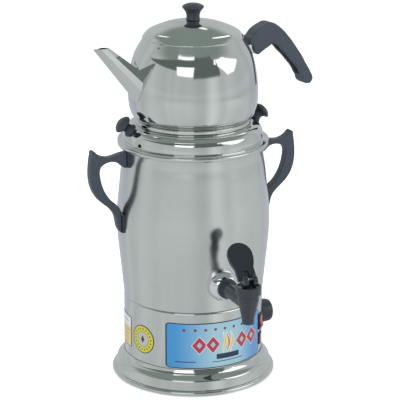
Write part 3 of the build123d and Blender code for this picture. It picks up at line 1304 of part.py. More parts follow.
wire_rise, wire_bend = 22.0, 6.0
stud_end_z = floor_z - stud_drop
tag_y, tag_z = inlet_back_r - inlet_tag, inlet_z + inlet_pin_places[0][1]
rocker_back = radial(switch_azimuth) * (base_r - rocker_depth) + Vector(0, 0, rocker_z)
thermostat_tag = Vector(thermostat_back, -thermostat_w / 4, knob_z - thermostat_w / 4)


def block_entry(share_x, share_y):
    """Two points that bring a wire straight down to a terminal on the block's top."""
    entry = Vector(share_x * block_w / 2, share_y * block_d / 2, block_top_z)
    return [entry + Vector(0, 0, wire_rise), entry]


wires = [
    bent_rod([thermostat_tag, thermostat_tag - Vector(wire_rise, 0, 0), *block_entry(0.5, -0.75)], wire_r, wire_bend),
    bent_rod([rocker_back, rocker_back - radial(switch_azimuth) * wire_rise, *block_entry(0, -0.75)], wire_r, wire_bend),
]
for side in (-1, 1):
    tag = Vector(side * inlet_pin_places[1][0], tag_y, tag_z)
    wires.append(bent_rod([tag, tag - Vector(0, wire_rise, 0), *block_entry(side * 0.66, 0.5)], wire_r, wire_bend))
    stud_end = Vector(side * element_stud_x, element_y, stud_end_z)
    wires.append(bent_rod([stud_end, stud_end - Vector(0, 0, wire_rise), *block_entry(side * 0.84, -0.25)],
                          wire_r, wire_bend))
keep(Compound(wires), "internal_wires")
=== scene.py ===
# %% [markdown]
# # Electric samovar
# A samovar of this kind has two storeys. A spun steel tank holds the hot water and has a lever
# tap at its front, and a small steel teapot stands on the tank's lid and is kept warm by steam.
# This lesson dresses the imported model: every spun body is turned again at a high resolution,
# because polished steel shows each flat facet, and the moulded handles get their soft edges.

# %% Load the frame
from math import atan2, cos, hypot, pi, radians, sin, sqrt

import bmesh
import bpy
import numpy as np
from mathutils import Matrix, Vector


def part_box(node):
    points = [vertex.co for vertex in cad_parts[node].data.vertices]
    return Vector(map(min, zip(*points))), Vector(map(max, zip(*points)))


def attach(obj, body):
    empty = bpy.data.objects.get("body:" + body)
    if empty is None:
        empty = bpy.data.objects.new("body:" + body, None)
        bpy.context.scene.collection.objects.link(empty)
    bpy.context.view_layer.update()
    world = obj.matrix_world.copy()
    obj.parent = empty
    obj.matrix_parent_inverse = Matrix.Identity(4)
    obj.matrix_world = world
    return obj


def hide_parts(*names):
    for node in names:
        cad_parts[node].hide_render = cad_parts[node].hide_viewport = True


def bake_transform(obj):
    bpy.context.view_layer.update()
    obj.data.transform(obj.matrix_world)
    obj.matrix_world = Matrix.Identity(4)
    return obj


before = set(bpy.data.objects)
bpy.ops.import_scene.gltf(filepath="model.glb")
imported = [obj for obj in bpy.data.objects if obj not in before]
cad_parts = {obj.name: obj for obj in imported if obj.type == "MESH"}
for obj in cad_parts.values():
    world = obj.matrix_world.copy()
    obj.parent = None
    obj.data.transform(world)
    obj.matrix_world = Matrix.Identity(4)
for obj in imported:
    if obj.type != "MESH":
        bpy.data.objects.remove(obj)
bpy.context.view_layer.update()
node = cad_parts

# %% [markdown]
# ## Camera
# A long lens from about 2.3 m, a little above the object, keeps the upright lines nearly
# parallel. The tap points slightly to the right of the lens.

# %% Camera
camera_data = bpy.data.cameras.new("studio_camera")
camera_data.lens, camera_data.sensor_width, camera_data.shift_x = 158.2, 36.0, 0.0173
camera = bpy.data.objects.new("studio_camera", camera_data)
camera.location = (-0.8877, -2.0914, 0.928)
camera.rotation_euler = (radians(73.19), 0.0, radians(-23.0))
bpy.context.scene.collection.objects.link(camera)
bpy.context.scene.camera = camera
bpy.context.scene.view_settings.view_transform = "Standard"
print("camera stands", round(camera.location.length, 2), "m away")

# %% [markdown]
# ## Small tools for node trees
# Materials are long chains of nodes. A few short helpers keep them readable: they add a node and
# feed its sockets, do a sum, mix two colours, and turn a place into an angle or a soft step.


# %% Node helpers
def place(tree, kind, **settings):
    """Add a node and set its plain properties."""
    made = tree.nodes.new(kind)
    for key, value in settings.items():
        setattr(made, key, value)
    return made


def feed(tree, target, value):
    """Join a socket to an output, or give it a constant. A colour may leave out its alpha."""
    if isinstance(value, bpy.types.NodeSocket):
        tree.links.new(value, target)
    elif target.type == "RGBA" and len(value) == 3:
        target.default_value = (*value, 1.0)
    else:
        target.default_value = value


def output_of(tree, kind, inputs, out=0, **settings):
    """Add a node, feed its inputs by label or by place, and give back one output."""
    made = place(tree, kind, **settings)
    for key, value in inputs.items():
        feed(tree, made.inputs[key], value)
    return made.outputs[out]


def sums(tree, operation, *values):
    """A maths node on sockets or numbers."""
    return output_of(tree, "ShaderNodeMath", dict(enumerate(values)), operation=operation)


FIRST_COLOUR, SECOND_COLOUR, COLOUR_OUT = 6, 7, 2


def blend_colour(tree, factor, first, second, blend_type="MIX"):
    """Mix two colours by a factor. The node has sockets for numbers too, so colours go by place."""
    inputs = {"Factor": factor, FIRST_COLOUR: first, SECOND_COLOUR: second}
    return output_of(tree, "ShaderNodeMix", inputs, COLOUR_OUT, data_type="RGBA", blend_type=blend_type)


def object_point(tree):
    """The point's own place in metres, which stays on a piece as it moves."""
    return place(tree, "ShaderNodeTexCoord").outputs["Object"]


def parts_of(tree, point):
    """X, Y and Z of a point."""
    made = place(tree, "ShaderNodeSeparateXYZ")
    feed(tree, made.inputs[0], point)
    return made.outputs


def length_of(tree, x, y):
    """Length of a flat vector."""
    return sums(tree, "SQRT", sums(tree, "ADD", sums(tree, "MULTIPLY", x, x), sums(tree, "MULTIPLY", y, y)))


def angle_round(tree, x, y):
    """Degrees round Z: 0 on the tap's side, 90 on the right."""
    return sums(tree, "DEGREES", sums(tree, "ARCTAN2", x, sums(tree, "MULTIPLY", y, -1.0)))


def ramp_between(tree, value, low, high):
    """Smooth step from 0 at one value to 1 at another."""
    inputs = {"Value": value, "From Min": low, "From Max": high}
    return output_of(tree, "ShaderNodeMapRange", inputs, interpolation_type="SMOOTHSTEP")


print("node helpers are ready")

# %% [markdown]
# ## Studio
# Polished steel is only as good as what it mirrors. The world is white where the camera looks
# past the object. For mirror rays it is a studio: pale paper hung round the object up to eye
# level, a dark ceiling, and a few white soft boxes with straight edges in front of that dark.
# A direction is read as azimuth and elevation, in degrees.

# %% Directions of the studio
world = bpy.data.worlds.new("studio")
bpy.context.scene.world = world
world.use_nodes = True
sky = world.node_tree
sky.nodes.clear()
look_x, look_y, look_z = parts_of(sky, place(sky, "ShaderNodeTexCoord").outputs["Generated"])
elevation = sums(sky, "DEGREES", sums(sky, "ARCSINE", look_z))
azimuth = angle_round(sky, look_x, look_y)
print("the studio is read by azimuth and elevation")

# %% [markdown]
# A soft box is a convex polygon in azimuth and elevation, so each of its edges is one ramp. The
# hung paper has soft folds, from a noise that changes with the azimuth alone.


# %% Panels and paper
def panel(tree, corners, soft):
    """One inside a convex polygon of (azimuth, elevation) corners, nothing outside."""
    inside = None
    centre_a = sum(a for a, _ in corners) / len(corners)
    centre_e = sum(e for _, e in corners) / len(corners)
    for (a0, e0), (a1, e1) in zip(corners, corners[1:] + corners[:1]):
        length = hypot(a1 - a0, e1 - e0)
        na, ne = -(e1 - e0) / length, (a1 - a0) / length
        if na * (centre_a - a0) + ne * (centre_e - e0) < 0:
            na, ne = -na, -ne
        along_edge = sums(tree, "MULTIPLY_ADD", azimuth, na, -(na * a0 + ne * e0))
        depth = sums(tree, "MULTIPLY_ADD", elevation, ne, along_edge)
        step = ramp_between(tree, depth, -soft, soft)
        inside = step if inside is None else sums(tree, "MULTIPLY", inside, step)
    return inside


def paper_bands(tree, angle):
    """Soft upright folds in the hung paper, by azimuth in degrees, with one pale streak."""
    streak_starts, streak_full, streak_fades, streak_ends, streak_gain = 0.0, 12.0, 14.0, 28.0, 0.22
    wide_noise = {"W": angle, "Scale": 0.035, "Detail": 2.0}
    folds = output_of(tree, "ShaderNodeTexNoise", wide_noise, "Fac", noise_dimensions="1D")
    spread = {"Value": folds, "From Min": 0.3, "From Max": 0.7, "To Min": 0.88, "To Max": 1.12}
    streak = sums(tree, "MULTIPLY", ramp_between(tree, angle, streak_starts, streak_full),
                  ramp_between(tree, angle, streak_ends, streak_fades))
    return sums(tree, "MULTIPLY_ADD", streak, streak_gain, output_of(tree, "ShaderNodeMapRange", spread))


print("a studio panel has one ramp for each edge")

# %% [markdown]
# The room is built up in layers: paper and ceiling, then dark panels, then the lit boxes. Light
# Path decides who sees it. Mirror rays do, the camera sees white, and matt surfaces get one even
# tone.

# %% Studio world
paper_tone = (0.58, 0.62, 0.62)
ceiling_tone = (0.27, 0.325, 0.30)
dark_tone = (0.14, 0.175, 0.165)
soft_box_tone, soft_box_edge, panel_edge = (1.75, 1.75, 1.75), 0.9, 1.2
room_light_tone = (0.55, 0.56, 0.56)
paper_top, ceiling_edge = 30.0, 44.0
fold_inputs = {0: paper_tone, "Scale": paper_bands(sky, azimuth)}
folded = output_of(sky, "ShaderNodeVectorMath", fold_inputs, operation="SCALE")
room = blend_colour(sky, ramp_between(sky, elevation, paper_top, ceiling_edge), folded, ceiling_tone)
dark_panels = [
    [(-122, 24), (-56, 19), (-20, 26), (-20, 44), (-60, 43), (-95, 34)],
    [(-22, 9), (40, 9), (28, 30), (28, 46), (-22, 48)],
]
for corners in dark_panels:
    room = blend_colour(sky, panel(sky, corners, panel_edge), room, dark_tone)
soft_boxes = [
    [(-55, 27), (-20, 27), (-23, 11), (-52, 12)],
    [(28, 39), (46, 38), (76, 22), (58, 8), (42, 8), (27, 24)],
    [(-60, 48), (-20, 49), (-20, 45), (-60, 44)],
    [(112, 64), (124, 60), (127, 38), (118, 38), (110, 56)],
    [(146, 46), (156, 42), (154, 39), (145, 43)],
    [(-172, 55), (-165, 53), (-167, 40), (-173, 41)],
    [(20, 30), (25, 40), (27, 40), (24, 28)],
]
lit = None
for corners in soft_boxes:
    box = panel(sky, corners, soft_box_edge)
    lit = box if lit is None else sums(sky, "MAXIMUM", lit, box)
mirrored = blend_colour(sky, lit, room, soft_box_tone)
path = place(sky, "ShaderNodeLightPath")
plain_white = (1.0, 1.0, 1.0)
seen = blend_colour(sky, path.outputs["Is Glossy Ray"], room_light_tone, mirrored)
seen = blend_colour(sky, path.outputs["Is Camera Ray"], seen, plain_white)
background = output_of(sky, "ShaderNodeBackground", {"Color": seen})
feed(sky, place(sky, "ShaderNodeOutputWorld").inputs["Surface"], background)
print("soft boxes in the studio:", len(soft_boxes))

# %% [markdown]
# Steel takes its looks from the world, but the matt handles and the floor need lamps: a key
# from the left, a weaker fill from the right, and one behind for the edges. Mirror rays don't
# see them, so no hard square shows in the steel.


# %% Lamps
def lamp(name, size, power, place_at, aim):
    """Square soft lamp, size in metres and power in watts, that looks at a point."""
    data = bpy.data.lights.new(name, "AREA")
    data.shape, data.size, data.energy = "SQUARE", size, power
    made = bpy.data.objects.new(name, data)
    made.location = place_at
    made.rotation_euler = (Vector(aim) - Vector(place_at)).to_track_quat("-Z", "Y").to_euler()
    made.visible_glossy = False
    bpy.context.scene.collection.objects.link(made)
    print(f"{name}: {power:.0f} W")


belly_middle, shoulder_middle = (0, 0, 0.25), (0, 0, 0.3)
lamp("key_lamp", 1.4, 26.0, (-1.6, -1.5, 1.9), belly_middle)
lamp("fill_lamp", 1.6, 12.0, (1.8, -1.2, 1.1), belly_middle)
lamp("rim_lamp", 1.2, 10.0, (0.6, 1.7, 1.5), shoulder_middle)

# %% [markdown]
# The floor is pale paper. Its own glow is small and only lifts it to white for the camera, so
# the object's soft shadow stays. Mirror rays see it a little darker, as steel shows it, with the
# folds of the hung paper, brighter far away and lilac behind the object.

# %% Floor
floor_half = 15.0
floor_corners = [(x * floor_half, y * floor_half, 0) for x, y in ((-1, -1), (1, -1), (1, 1), (-1, 1))]
floor_mesh = bpy.data.meshes.new("studio_floor")
floor_mesh.from_pydata(floor_corners, [], [(0, 1, 2, 3)])
floor = bpy.data.objects.new("studio_floor", floor_mesh)
bpy.context.scene.collection.objects.link(floor)
paper = bpy.data.materials.new("floor_paper")
paper.use_nodes = True
tree = paper.node_tree
tree.nodes.clear()
floor_x, floor_y, _ = parts_of(tree, object_point(tree))
floor_angle = angle_round(tree, floor_x, floor_y)
lens = place(tree, "ShaderNodeLightPath").outputs["Is Camera Ray"]
mirrored_paper, seen_paper = (0.33, 0.35, 0.35), (0.98, 0.98, 0.98)
plain_glow, lilac_glow = (0.60, 0.64, 0.645), (0.50, 0.52, 0.64)
lilac_paper = sums(tree, "MAXIMUM", ramp_between(tree, floor_angle, 96.0, 110.0),
                   ramp_between(tree, floor_angle, -134.0, -146.0))
hung_paper = blend_colour(tree, lilac_paper, plain_glow, lilac_glow)

near_edge, far_edge, far_gain = 0.8, 6.0, 0.2
fold_gain, fold_base, seen_level = 0.95, -0.42, 0.45
far_away = ramp_between(tree, length_of(tree, floor_x, floor_y), near_edge, far_edge)
near_level = sums(tree, "MULTIPLY_ADD", paper_bands(tree, floor_angle), fold_gain, fold_base)
mirrored_level = sums(tree, "MULTIPLY_ADD", far_away, far_gain, near_level)
level = output_of(tree, "ShaderNodeMix", {0: lens, 2: mirrored_level, 3: seen_level})
glow_inputs = {"Color": blend_colour(tree, lens, hung_paper, plain_white), "Strength": level}
glow = output_of(tree, "ShaderNodeEmission", glow_inputs)
matt_inputs = {"Color": blend_colour(tree, lens, mirrored_paper, seen_paper)}
matt = output_of(tree, "ShaderNodeBsdfDiffuse", matt_inputs)
added = output_of(tree, "ShaderNodeAddShader", {0: matt, 1: glow})
feed(tree, place(tree, "ShaderNodeOutputMaterial").inputs["Surface"], added)
floor_mesh.materials.append(paper)
print("the floor is", round(2 * floor_half), "m wide")

# %% [markdown]
# ## Finishes
# Each finish starts from its real process, and from one Principled shader. Its roughness, its
# tone and a fine bump then follow noise. All patterns read Object coordinates, so they stay on
# the piece as it moves.


# %% Finish helpers
def new_finish(name, colour, metallic=0.0, roughness=0.4, coat=0.0, coat_roughness=0.05):
    """A material with one Principled shader, ready for its textures."""
    made = bpy.data.materials.new(name)
    made.use_nodes = True
    shader = made.node_tree.nodes["Principled BSDF"]
    inputs = {"Base Color": colour, "Metallic": metallic, "Roughness": roughness,
              "Coat Weight": coat, "Coat Roughness": coat_roughness}
    for label, value in inputs.items():
        feed(made.node_tree, shader.inputs[label], value)
    return made, made.node_tree, shader


def noise(tree, point, scale, detail=3.0, roughness=0.5):
    """Noise value at a point."""
    inputs = {"Vector": point, "Scale": scale, "Detail": detail, "Roughness": roughness}
    return output_of(tree, "ShaderNodeTexNoise", inputs, "Fac")


def stretched(tree, point, stretch):
    """A point with its axes scaled, for grain that runs one way."""
    return output_of(tree, "ShaderNodeMapping", {"Vector": point, "Scale": stretch})


def ramp(tree, value, low, high):
    """Spread a 0 to 1 value over a range of numbers."""
    return output_of(tree, "ShaderNodeMapRange", {"Value": value, "To Min": low, "To Max": high})


def bump(tree, shader, height, distance, strength=1.0, under=None):
    """Raise the surface by a height pattern, on top of another bump if given."""
    inputs = {"Strength": strength, "Distance": distance, "Height": height}
    if under is not None:
        inputs["Normal"] = under
    raised = output_of(tree, "ShaderNodeBump", inputs)
    feed(tree, shader.inputs["Normal"], raised)
    return raised


def around_axis(tree, point):
    """Angle round Z, distance from Z, and height, for marks left by a lathe."""
    x, y, z = parts_of(tree, point)
    inputs = {"X": sums(tree, "ARCTAN2", y, x), "Y": length_of(tree, x, y), "Z": z}
    return output_of(tree, "ShaderNodeCombineXYZ", inputs)


print("finish helpers are ready")

# %% [markdown]
# Sheet steel is spun and then buffed on a lathe, so its faint marks run round the axis and the
# sheet stays slightly wavy. Noise that is stretched along the angle round Z draws both. The
# barrel is buffed less than the rest, and the tank's floor is left dull.


# %% Polished steel
def buffed_steel(name, colour, polish, wave, mark):
    """Spun sheet steel: polish is the roughness, wave the unevenness, mark the buffing lines."""
    made, tree, shader = new_finish(name, colour, metallic=1.0, roughness=polish)
    point = object_point(tree)
    lathe_point = around_axis(tree, point)
    fine_marks, broad_marks, line_share = (1.2, 900.0, 900.0), (2.0, 18.0, 18.0), 0.35
    lines = noise(tree, stretched(tree, lathe_point, fine_marks), 1.0, 2.0)
    haze = noise(tree, stretched(tree, lathe_point, broad_marks), 1.0, 4.0)
    both = sums(tree, "ADD", sums(tree, "MULTIPLY", lines, line_share),
                sums(tree, "MULTIPLY", haze, 1.0 - line_share))
    feed(tree, shader.inputs["Roughness"], ramp(tree, both, polish * 0.55, polish * 1.5))
    under = bump(tree, shader, noise(tree, point, 22.0, 1.5), 0.004 * wave, 1.0)
    bump(tree, shader, lines, 0.00002 * mark, 0.6, under)
    tone = ramp(tree, haze, 0.94, 1.04)
    shade = output_of(tree, "ShaderNodeCombineColor", {0: tone, 1: tone, 2: tone})
    feed(tree, shader.inputs["Base Color"], blend_colour(tree, 1.0, colour, shade, "MULTIPLY"))
    return made


bright_steel = (0.675, 0.685, 0.67)
steel = buffed_steel("polished_steel", bright_steel, 0.07, 0.05, 1.0)
barrel_steel = buffed_steel("barrel_steel", bright_steel, 0.2, 0.05, 1.0)
chrome = buffed_steel("chrome_plate", (0.82, 0.83, 0.85), 0.04, 0.02, 0.3)
tank_steel = buffed_steel("dull_steel", (0.5, 0.51, 0.52), 0.28, 0.05, 3.0)
print("steel finishes:", steel.name, barrel_steel.name, chrome.name, tank_steel.name)

# %% [markdown]
# The handles, knobs and tap are moulded. A mould is often blasted, so it leaves a fine grain, and
# the skin's shine is never quite even. One function makes them all, and the grain's size and
# depth tell hard phenolic from soft rubber.


# %% Moulded plastics and rubber
def moulded(name, colour, rough, grain_size, grain_depth, coat=0.0):
    """Moulded plastic with a fine mould grain and a slightly uneven shine."""
    made, tree, shader = new_finish(name, colour, roughness=rough, coat=coat, coat_roughness=0.12)
    point = object_point(tree)
    grain = noise(tree, point, 1.0 / grain_size, 4.0, 0.6)
    cloud = noise(tree, point, 45.0, 3.0)
    feed(tree, shader.inputs["Roughness"], ramp(tree, cloud, rough * 0.75, rough * 1.25))
    pale = tuple(min(1.0, 1.35 * part + 0.004) for part in colour)
    patches = sums(tree, "MULTIPLY", cloud, grain)
    feed(tree, shader.inputs["Base Color"], blend_colour(tree, patches, colour, pale))
    bump(tree, shader, grain, grain_depth, 0.8)
    return made


handle_plastic = moulded("handle_plastic", (0.052, 0.066, 0.088), 0.42, 0.0011, 0.00006)
knob_plastic = moulded("knob_plastic", (0.035, 0.043, 0.056), 0.36, 0.0011, 0.00005)
tap_plastic = moulded("tap_plastic", (0.030, 0.036, 0.048), 0.33, 0.0009, 0.00003, 0.15)
lever_plastic = moulded("lever_plastic", (0.010, 0.016, 0.026), 0.16, 0.0012, 0.00002, 0.5)
black_plastic = moulded("black_plastic", (0.018, 0.018, 0.021), 0.4, 0.001, 0.00005)
rubber = moulded("foot_rubber", (0.024, 0.024, 0.025), 0.7, 0.0008, 0.0001)
silicone = moulded("seal_silicone", (0.42, 0.1, 0.07), 0.55, 0.001, 0.00004)
rocker_red = moulded("rocker_red", (0.55, 0.035, 0.06), 0.25, 0.001, 0.00002, 0.4)
lamp_lens_red = moulded("lamp_red_lens", (0.62, 0.05, 0.06), 0.15, 0.002, 0.00002, 0.6)
thermostat_case = moulded("thermostat_case", (0.74, 0.7, 0.6), 0.45, 0.001, 0.00004)
wire_cover = moulded("wire_cover", (0.5, 0.13, 0.08), 0.5, 0.001, 0.00003)
print("moulded finishes are ready")

# %% [markdown]
# Screws, pins and tubes are small, so only their tone and a fine speckle show. Zinc, brass,
# copper and blackened steel are the same function with other colours.


# %% Small metal finishes
def worked_metal(name, colour, rough, speckle):
    """Plated or turned small metal part with fine speckle and a few dull spots."""
    made, tree, shader = new_finish(name, colour, metallic=1.0, roughness=rough)
    point = object_point(tree)
    fine = noise(tree, point, speckle, 4.0)
    spots = noise(tree, point, speckle / 9.0, 2.0)
    feed(tree, shader.inputs["Roughness"], ramp(tree, fine, rough * 0.7, rough * 1.4))
    dull = tuple(0.72 * part for part in colour)
    feed(tree, shader.inputs["Base Color"], blend_colour(tree, spots, dull, colour))
    bump(tree, shader, fine, 0.00003, 0.5)
    return made


screw_steel = worked_metal("zinc_screw", (0.6, 0.6, 0.61), 0.3, 900.0)
cover_steel = worked_metal("cover_steel", (0.52, 0.53, 0.54), 0.38, 300.0)
dark_steel = worked_metal("blackened_steel", (0.10, 0.105, 0.115), 0.42, 900.0)
element_metal = worked_metal("element_sheath", (0.36, 0.35, 0.34), 0.45, 500.0)
brass = worked_metal("turned_brass", (0.75, 0.56, 0.24), 0.3, 700.0)
copper = worked_metal("copper_tube", (0.72, 0.4, 0.26), 0.32, 700.0)
print("small metal finishes are ready")

# %% [markdown]
# ## Turning and smoothing tools
# Spun metal is a profile turned about an axis, so most of the object is one function. The
# profile's points are a few knots, close to those of the solids, with a smooth curve through them.


# %% Profile tools
MM = 0.001
TURN_STEPS, HOLE_STEPS, BEAD_STEPS = 192, 28, 28
ON_AXIS = 1e-4
WELD = 1e-7
SHARP_ANGLE = radians(32.0)


def through(points, steps=10):
    """Smooth curve through points: a natural cubic spline by chord length."""
    knots = np.array(points, float)
    gaps = np.linalg.norm(np.diff(knots, axis=0), axis=1)
    count = len(knots)
    matrix, right = np.eye(count), np.zeros((count, knots.shape[1]))
    for i in range(1, count - 1):
        matrix[i, i - 1:i + 2] = gaps[i - 1], 2 * (gaps[i - 1] + gaps[i]), gaps[i]
        right[i] = 6 * ((knots[i + 1] - knots[i]) / gaps[i] - (knots[i] - knots[i - 1]) / gaps[i - 1])
    bend = np.linalg.solve(matrix, right)
    made = []
    for i in range(count - 1):
        h = gaps[i]
        for t in np.linspace(0, h, steps, endpoint=False):
            a, b = (h - t) / h, t / h
            made.append(tuple(a * knots[i] + b * knots[i + 1]
                              + ((a ** 3 - a) * bend[i] + (b ** 3 - b) * bend[i + 1]) * h * h / 6))
    made.append(tuple(knots[-1]))
    return made


def arc(start, middle, end, steps=10):
    """Points on the circle through three points."""
    (ax, ay), (bx, by), (cx, cy) = start, middle, end
    d = 2 * (ax * (by - cy) + bx * (cy - ay) + cx * (ay - by))
    a, b, c = ax * ax + ay * ay, bx * bx + by * by, cx * cx + cy * cy
    ux = (a * (by - cy) + b * (cy - ay) + c * (ay - by)) / d
    uy = (a * (cx - bx) + b * (ax - cx) + c * (bx - ax)) / d
    radius = hypot(ax - ux, ay - uy)
    first, mid, last = (atan2(y - uy, x - ux) for x, y in (start, middle, end))
    sweep = (last - first) % (2 * pi)
    if (mid - first) % (2 * pi) > sweep:
        sweep -= 2 * pi
    return [(ux + radius * cos(first + sweep * k / steps), uy + radius * sin(first + sweep * k / steps))
            for k in range(steps + 1)]


def eased(points, ease, steps=5):
    """Straight runs with each inner corner rounded."""
    made = [points[0]]
    for before, here, after in zip(points, points[1:], points[2:]):
        a, b, c = (np.array(p, float) for p in (before, here, after))
        back, ahead = a - b, c - b
        reach = min(ease, 0.45 * np.linalg.norm(back), 0.45 * np.linalg.norm(ahead))
        start = b + back / np.linalg.norm(back) * reach
        end = b + ahead / np.linalg.norm(ahead) * reach
        made += [tuple((1 - t) ** 2 * start + 2 * t * (1 - t) * b + t * t * end)
                 for t in np.linspace(0, 1, steps + 1)]
    return made + [points[-1]]


def offset(points, distance):
    """Points of an open run moved to its left, square to it."""
    moved = []
    for i, (x, y) in enumerate(points):
        (x0, y0), (x1, y1) = points[max(i - 1, 0)], points[min(i + 1, len(points) - 1)]
        length = hypot(x1 - x0, y1 - y0)
        moved.append((x - distance * (y1 - y0) / length, y + distance * (x1 - x0) / length))
    return moved


def radius_at(outline, height):
    """Radius of an upward outline at a height."""
    radii, heights = zip(*outline)
    return float(np.interp(height, heights, radii))


print("profile tools are ready")

# %% [markdown]
# Each piece's mesh is closed in the same way. Its doubles are merged before its normals are
# worked out again, because two points on one spot would leave a seam open. Then it is shaded
# smooth, but for corners sharper than 32 degrees.


# %% Mesh tools
def smoothed(mesh):
    """Shade smooth, but for the sharp corners."""
    mesh.shade_smooth()
    mesh.set_sharp_from_angle(angle=SHARP_ANGLE)


def put_finish(mesh, finish):
    """Give a mesh one finish and no other."""
    mesh.materials.clear()
    mesh.materials.append(finish)


def mesh_object(name, mesh, finish):
    """Link a mesh as a finished object at the origin."""
    made = bpy.data.objects.new(name, mesh)
    bpy.context.scene.collection.objects.link(made)
    put_finish(mesh, finish)
    smoothed(mesh)
    return made


def from_bmesh(name, bm, finish):
    """Close a bmesh, point its faces outwards and make it an object."""
    bmesh.ops.remove_doubles(bm, verts=bm.verts, dist=WELD)
    bmesh.ops.recalc_face_normals(bm, faces=bm.faces)
    mesh = bpy.data.meshes.new(name)
    bm.to_mesh(mesh)
    bm.free()
    return mesh_object(name, mesh, finish)


print("mesh tools are ready")

# %% [markdown]
# A profile becomes a mesh ring by ring, as a sheet is spun on a lathe. A point on the axis is one
# vertex, so that the pole is closed. Blender's Spin and Screw tools do the same, but rings give
# an even mesh about any axis.

# %% Turning
UPRIGHT = Matrix.Identity(4)


def turned(bm, outline, stand=UPRIGHT, closed=True, steps=TURN_STEPS):
    """Add a surface of revolution. The outline is (radius, height) in mm about the stand's Z."""
    rings = []
    angles = [2 * pi * k / steps for k in range(steps)]
    for radius, height in outline:
        if radius < ON_AXIS:
            rings.append([bm.verts.new(stand @ Vector((0, 0, height * MM)))] * steps)
            continue
        rings.append([bm.verts.new(stand @ Vector((radius * MM * cos(a), radius * MM * sin(a), height * MM)))
                      for a in angles])
    pairs = list(zip(rings, rings[1:])) + ([(rings[-1], rings[0])] if closed else [])
    for low, high in pairs:
        for k in range(steps):
            corners = [low[k], low[(k + 1) % steps], high[(k + 1) % steps], high[k]]
            single = list(dict.fromkeys(corners))
            if len(single) > 2:
                bm.faces.new(single)


def spun(name, outline, finish, stand=UPRIGHT, closed=True, steps=TURN_STEPS):
    """One spun or turned piece."""
    bm = bmesh.new()
    turned(bm, outline, stand, closed, steps)
    return from_bmesh(name, bm, finish)


print("one full ring has", TURN_STEPS, "faces")

# %% [markdown]
# Places round the tank are given by azimuth, as a maker marks them on the barrel. The tap is at 0
# and the angles grow towards the right handle, which is at 90.


# %% Directions round the tank
def along(azimuth):
    """Unit vector out from the tank's axis: azimuth 0 is the tap."""
    return Vector((sin(radians(azimuth)), -cos(radians(azimuth)), 0))


def across(azimuth):
    """Unit vector to the right of a viewer who looks at the tank from that azimuth."""
    return Vector((cos(radians(azimuth)), sin(radians(azimuth)), 0))


def stand_on(origin, x_dir, z_dir):
    """Matrix of a plane in mm: its X, its normal, and the place of its origin."""
    x, z = Vector(x_dir).normalized(), Vector(z_dir).normalized()
    y = z.cross(x)
    made = Matrix((x, y, z)).transposed().to_4x4()
    made.translation = Vector(origin) * MM
    return made


print("the right handle points along", tuple(round(part, 3) for part in along(90)))

# %% [markdown]
# A piece is finished when its modifiers are applied, it rides on the body that carries it, and it
# takes the place of its plain solid. The print shows how far its box is off the solid's box.


# %% Finishing a piece
def settle(made):
    """Apply the modifiers for good."""
    depsgraph = bpy.context.evaluated_depsgraph_get()
    mesh = bpy.data.meshes.new_from_object(made.evaluated_get(depsgraph), depsgraph=depsgraph)
    made.modifiers.clear()
    old = made.data
    made.data = mesh
    bpy.data.meshes.remove(old)


def finish_piece(made, body, solid):
    """Let a piece ride on its body and stand for its solid, and print how far their boxes differ."""
    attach(made, body)
    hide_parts(solid)
    points = np.array([vertex.co for vertex in made.data.vertices])
    low, high = (np.array(corner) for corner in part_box(solid))
    past = max(abs(points.min(axis=0) - low).max(), abs(points.max(axis=0) - high).max()) / MM
    print(f"{made.name}: {len(made.data.polygons)} faces, rides on {body}, {past:.1f} mm off its solid's box")


def add_block(bm, stand, size):
    """Add a block whose middle is on a stand. Its size is in mm."""
    bmesh.ops.create_cube(bm, size=1.0, matrix=stand @ Matrix.Diagonal((*(Vector(size) * MM), 1.0)))


def cut_away(made, cutter):
    """Take a cutter out of a piece with one exact boolean, and delete the cutter."""
    cut = made.modifiers.new("cut", "BOOLEAN")
    cut.operation, cut.solver, cut.object = "DIFFERENCE", "EXACT", cutter
    settle(made)
    bpy.data.objects.remove(cutter)


# %% [markdown]
# ## Water tank
# The barrel is one spun sheet with a soft waist under its rolled rim. The wall is a real 1 mm
# sheet, so that the tank is right when its lid is lifted. The rim is a bead that the sheet is
# rolled round, which is stiffer and safer than a cut edge.

# %% Barrel
sheet = 1.0
barrel_low_z, belly_z, neck_z = 113.8, 222.0, 313.0
rim_r, rim_z, bead_r = 101.3, 324.4, 3.4
barrel_outline = through([
    (94.2, barrel_low_z), (99.8, (barrel_low_z + belly_z) / 2 + 2), (103.2, belly_z),
    (98.5, neck_z - 37), (95.8, neck_z - 14), (94.4, neck_z),
    (rim_r - 1.3 * bead_r, rim_z - 0.7 * bead_r),
], 14)


def with_bead(outer, inner, centre, radius):
    """Join an outer and an inner run of sheet by a rolled bead, the long way round its centre."""
    def outside(point):
        return hypot(point[0] - centre[0], point[1] - centre[1]) > radius
    up = [p for p in outer if outside(p)]
    down = [p for p in reversed(inner) if outside(p)]
    first = atan2(up[-1][1] - centre[1], up[-1][0] - centre[0])
    last = atan2(down[0][1] - centre[1], down[0][0] - centre[0])
    sweep = (last - first) % (2 * pi)
    if sweep < pi:
        sweep -= 2 * pi
    angles = [first + sweep * k / BEAD_STEPS for k in range(1, BEAD_STEPS)]
    return up + [(centre[0] + radius * cos(a), centre[1] + radius * sin(a)) for a in angles] + down


barrel_inside = offset(barrel_outline, sheet)
barrel_profile = with_bead(barrel_outline, barrel_inside, (rim_r - bead_r, rim_z), bead_r)
barrel = spun("tank_barrel_spun", barrel_profile, barrel_steel)
finish_piece(barrel, "root", "tank_barrel")

# %% [markdown]
# The tank's lid is pressed: a brim lies on the tank's bead, a steep wall rises from it and rolls
# over into a level top, and a wide hole lets the steam reach the pot. A short plug under the
# brim keeps the lid in place. One profile holds all of it, so the wall's thickness is real too.

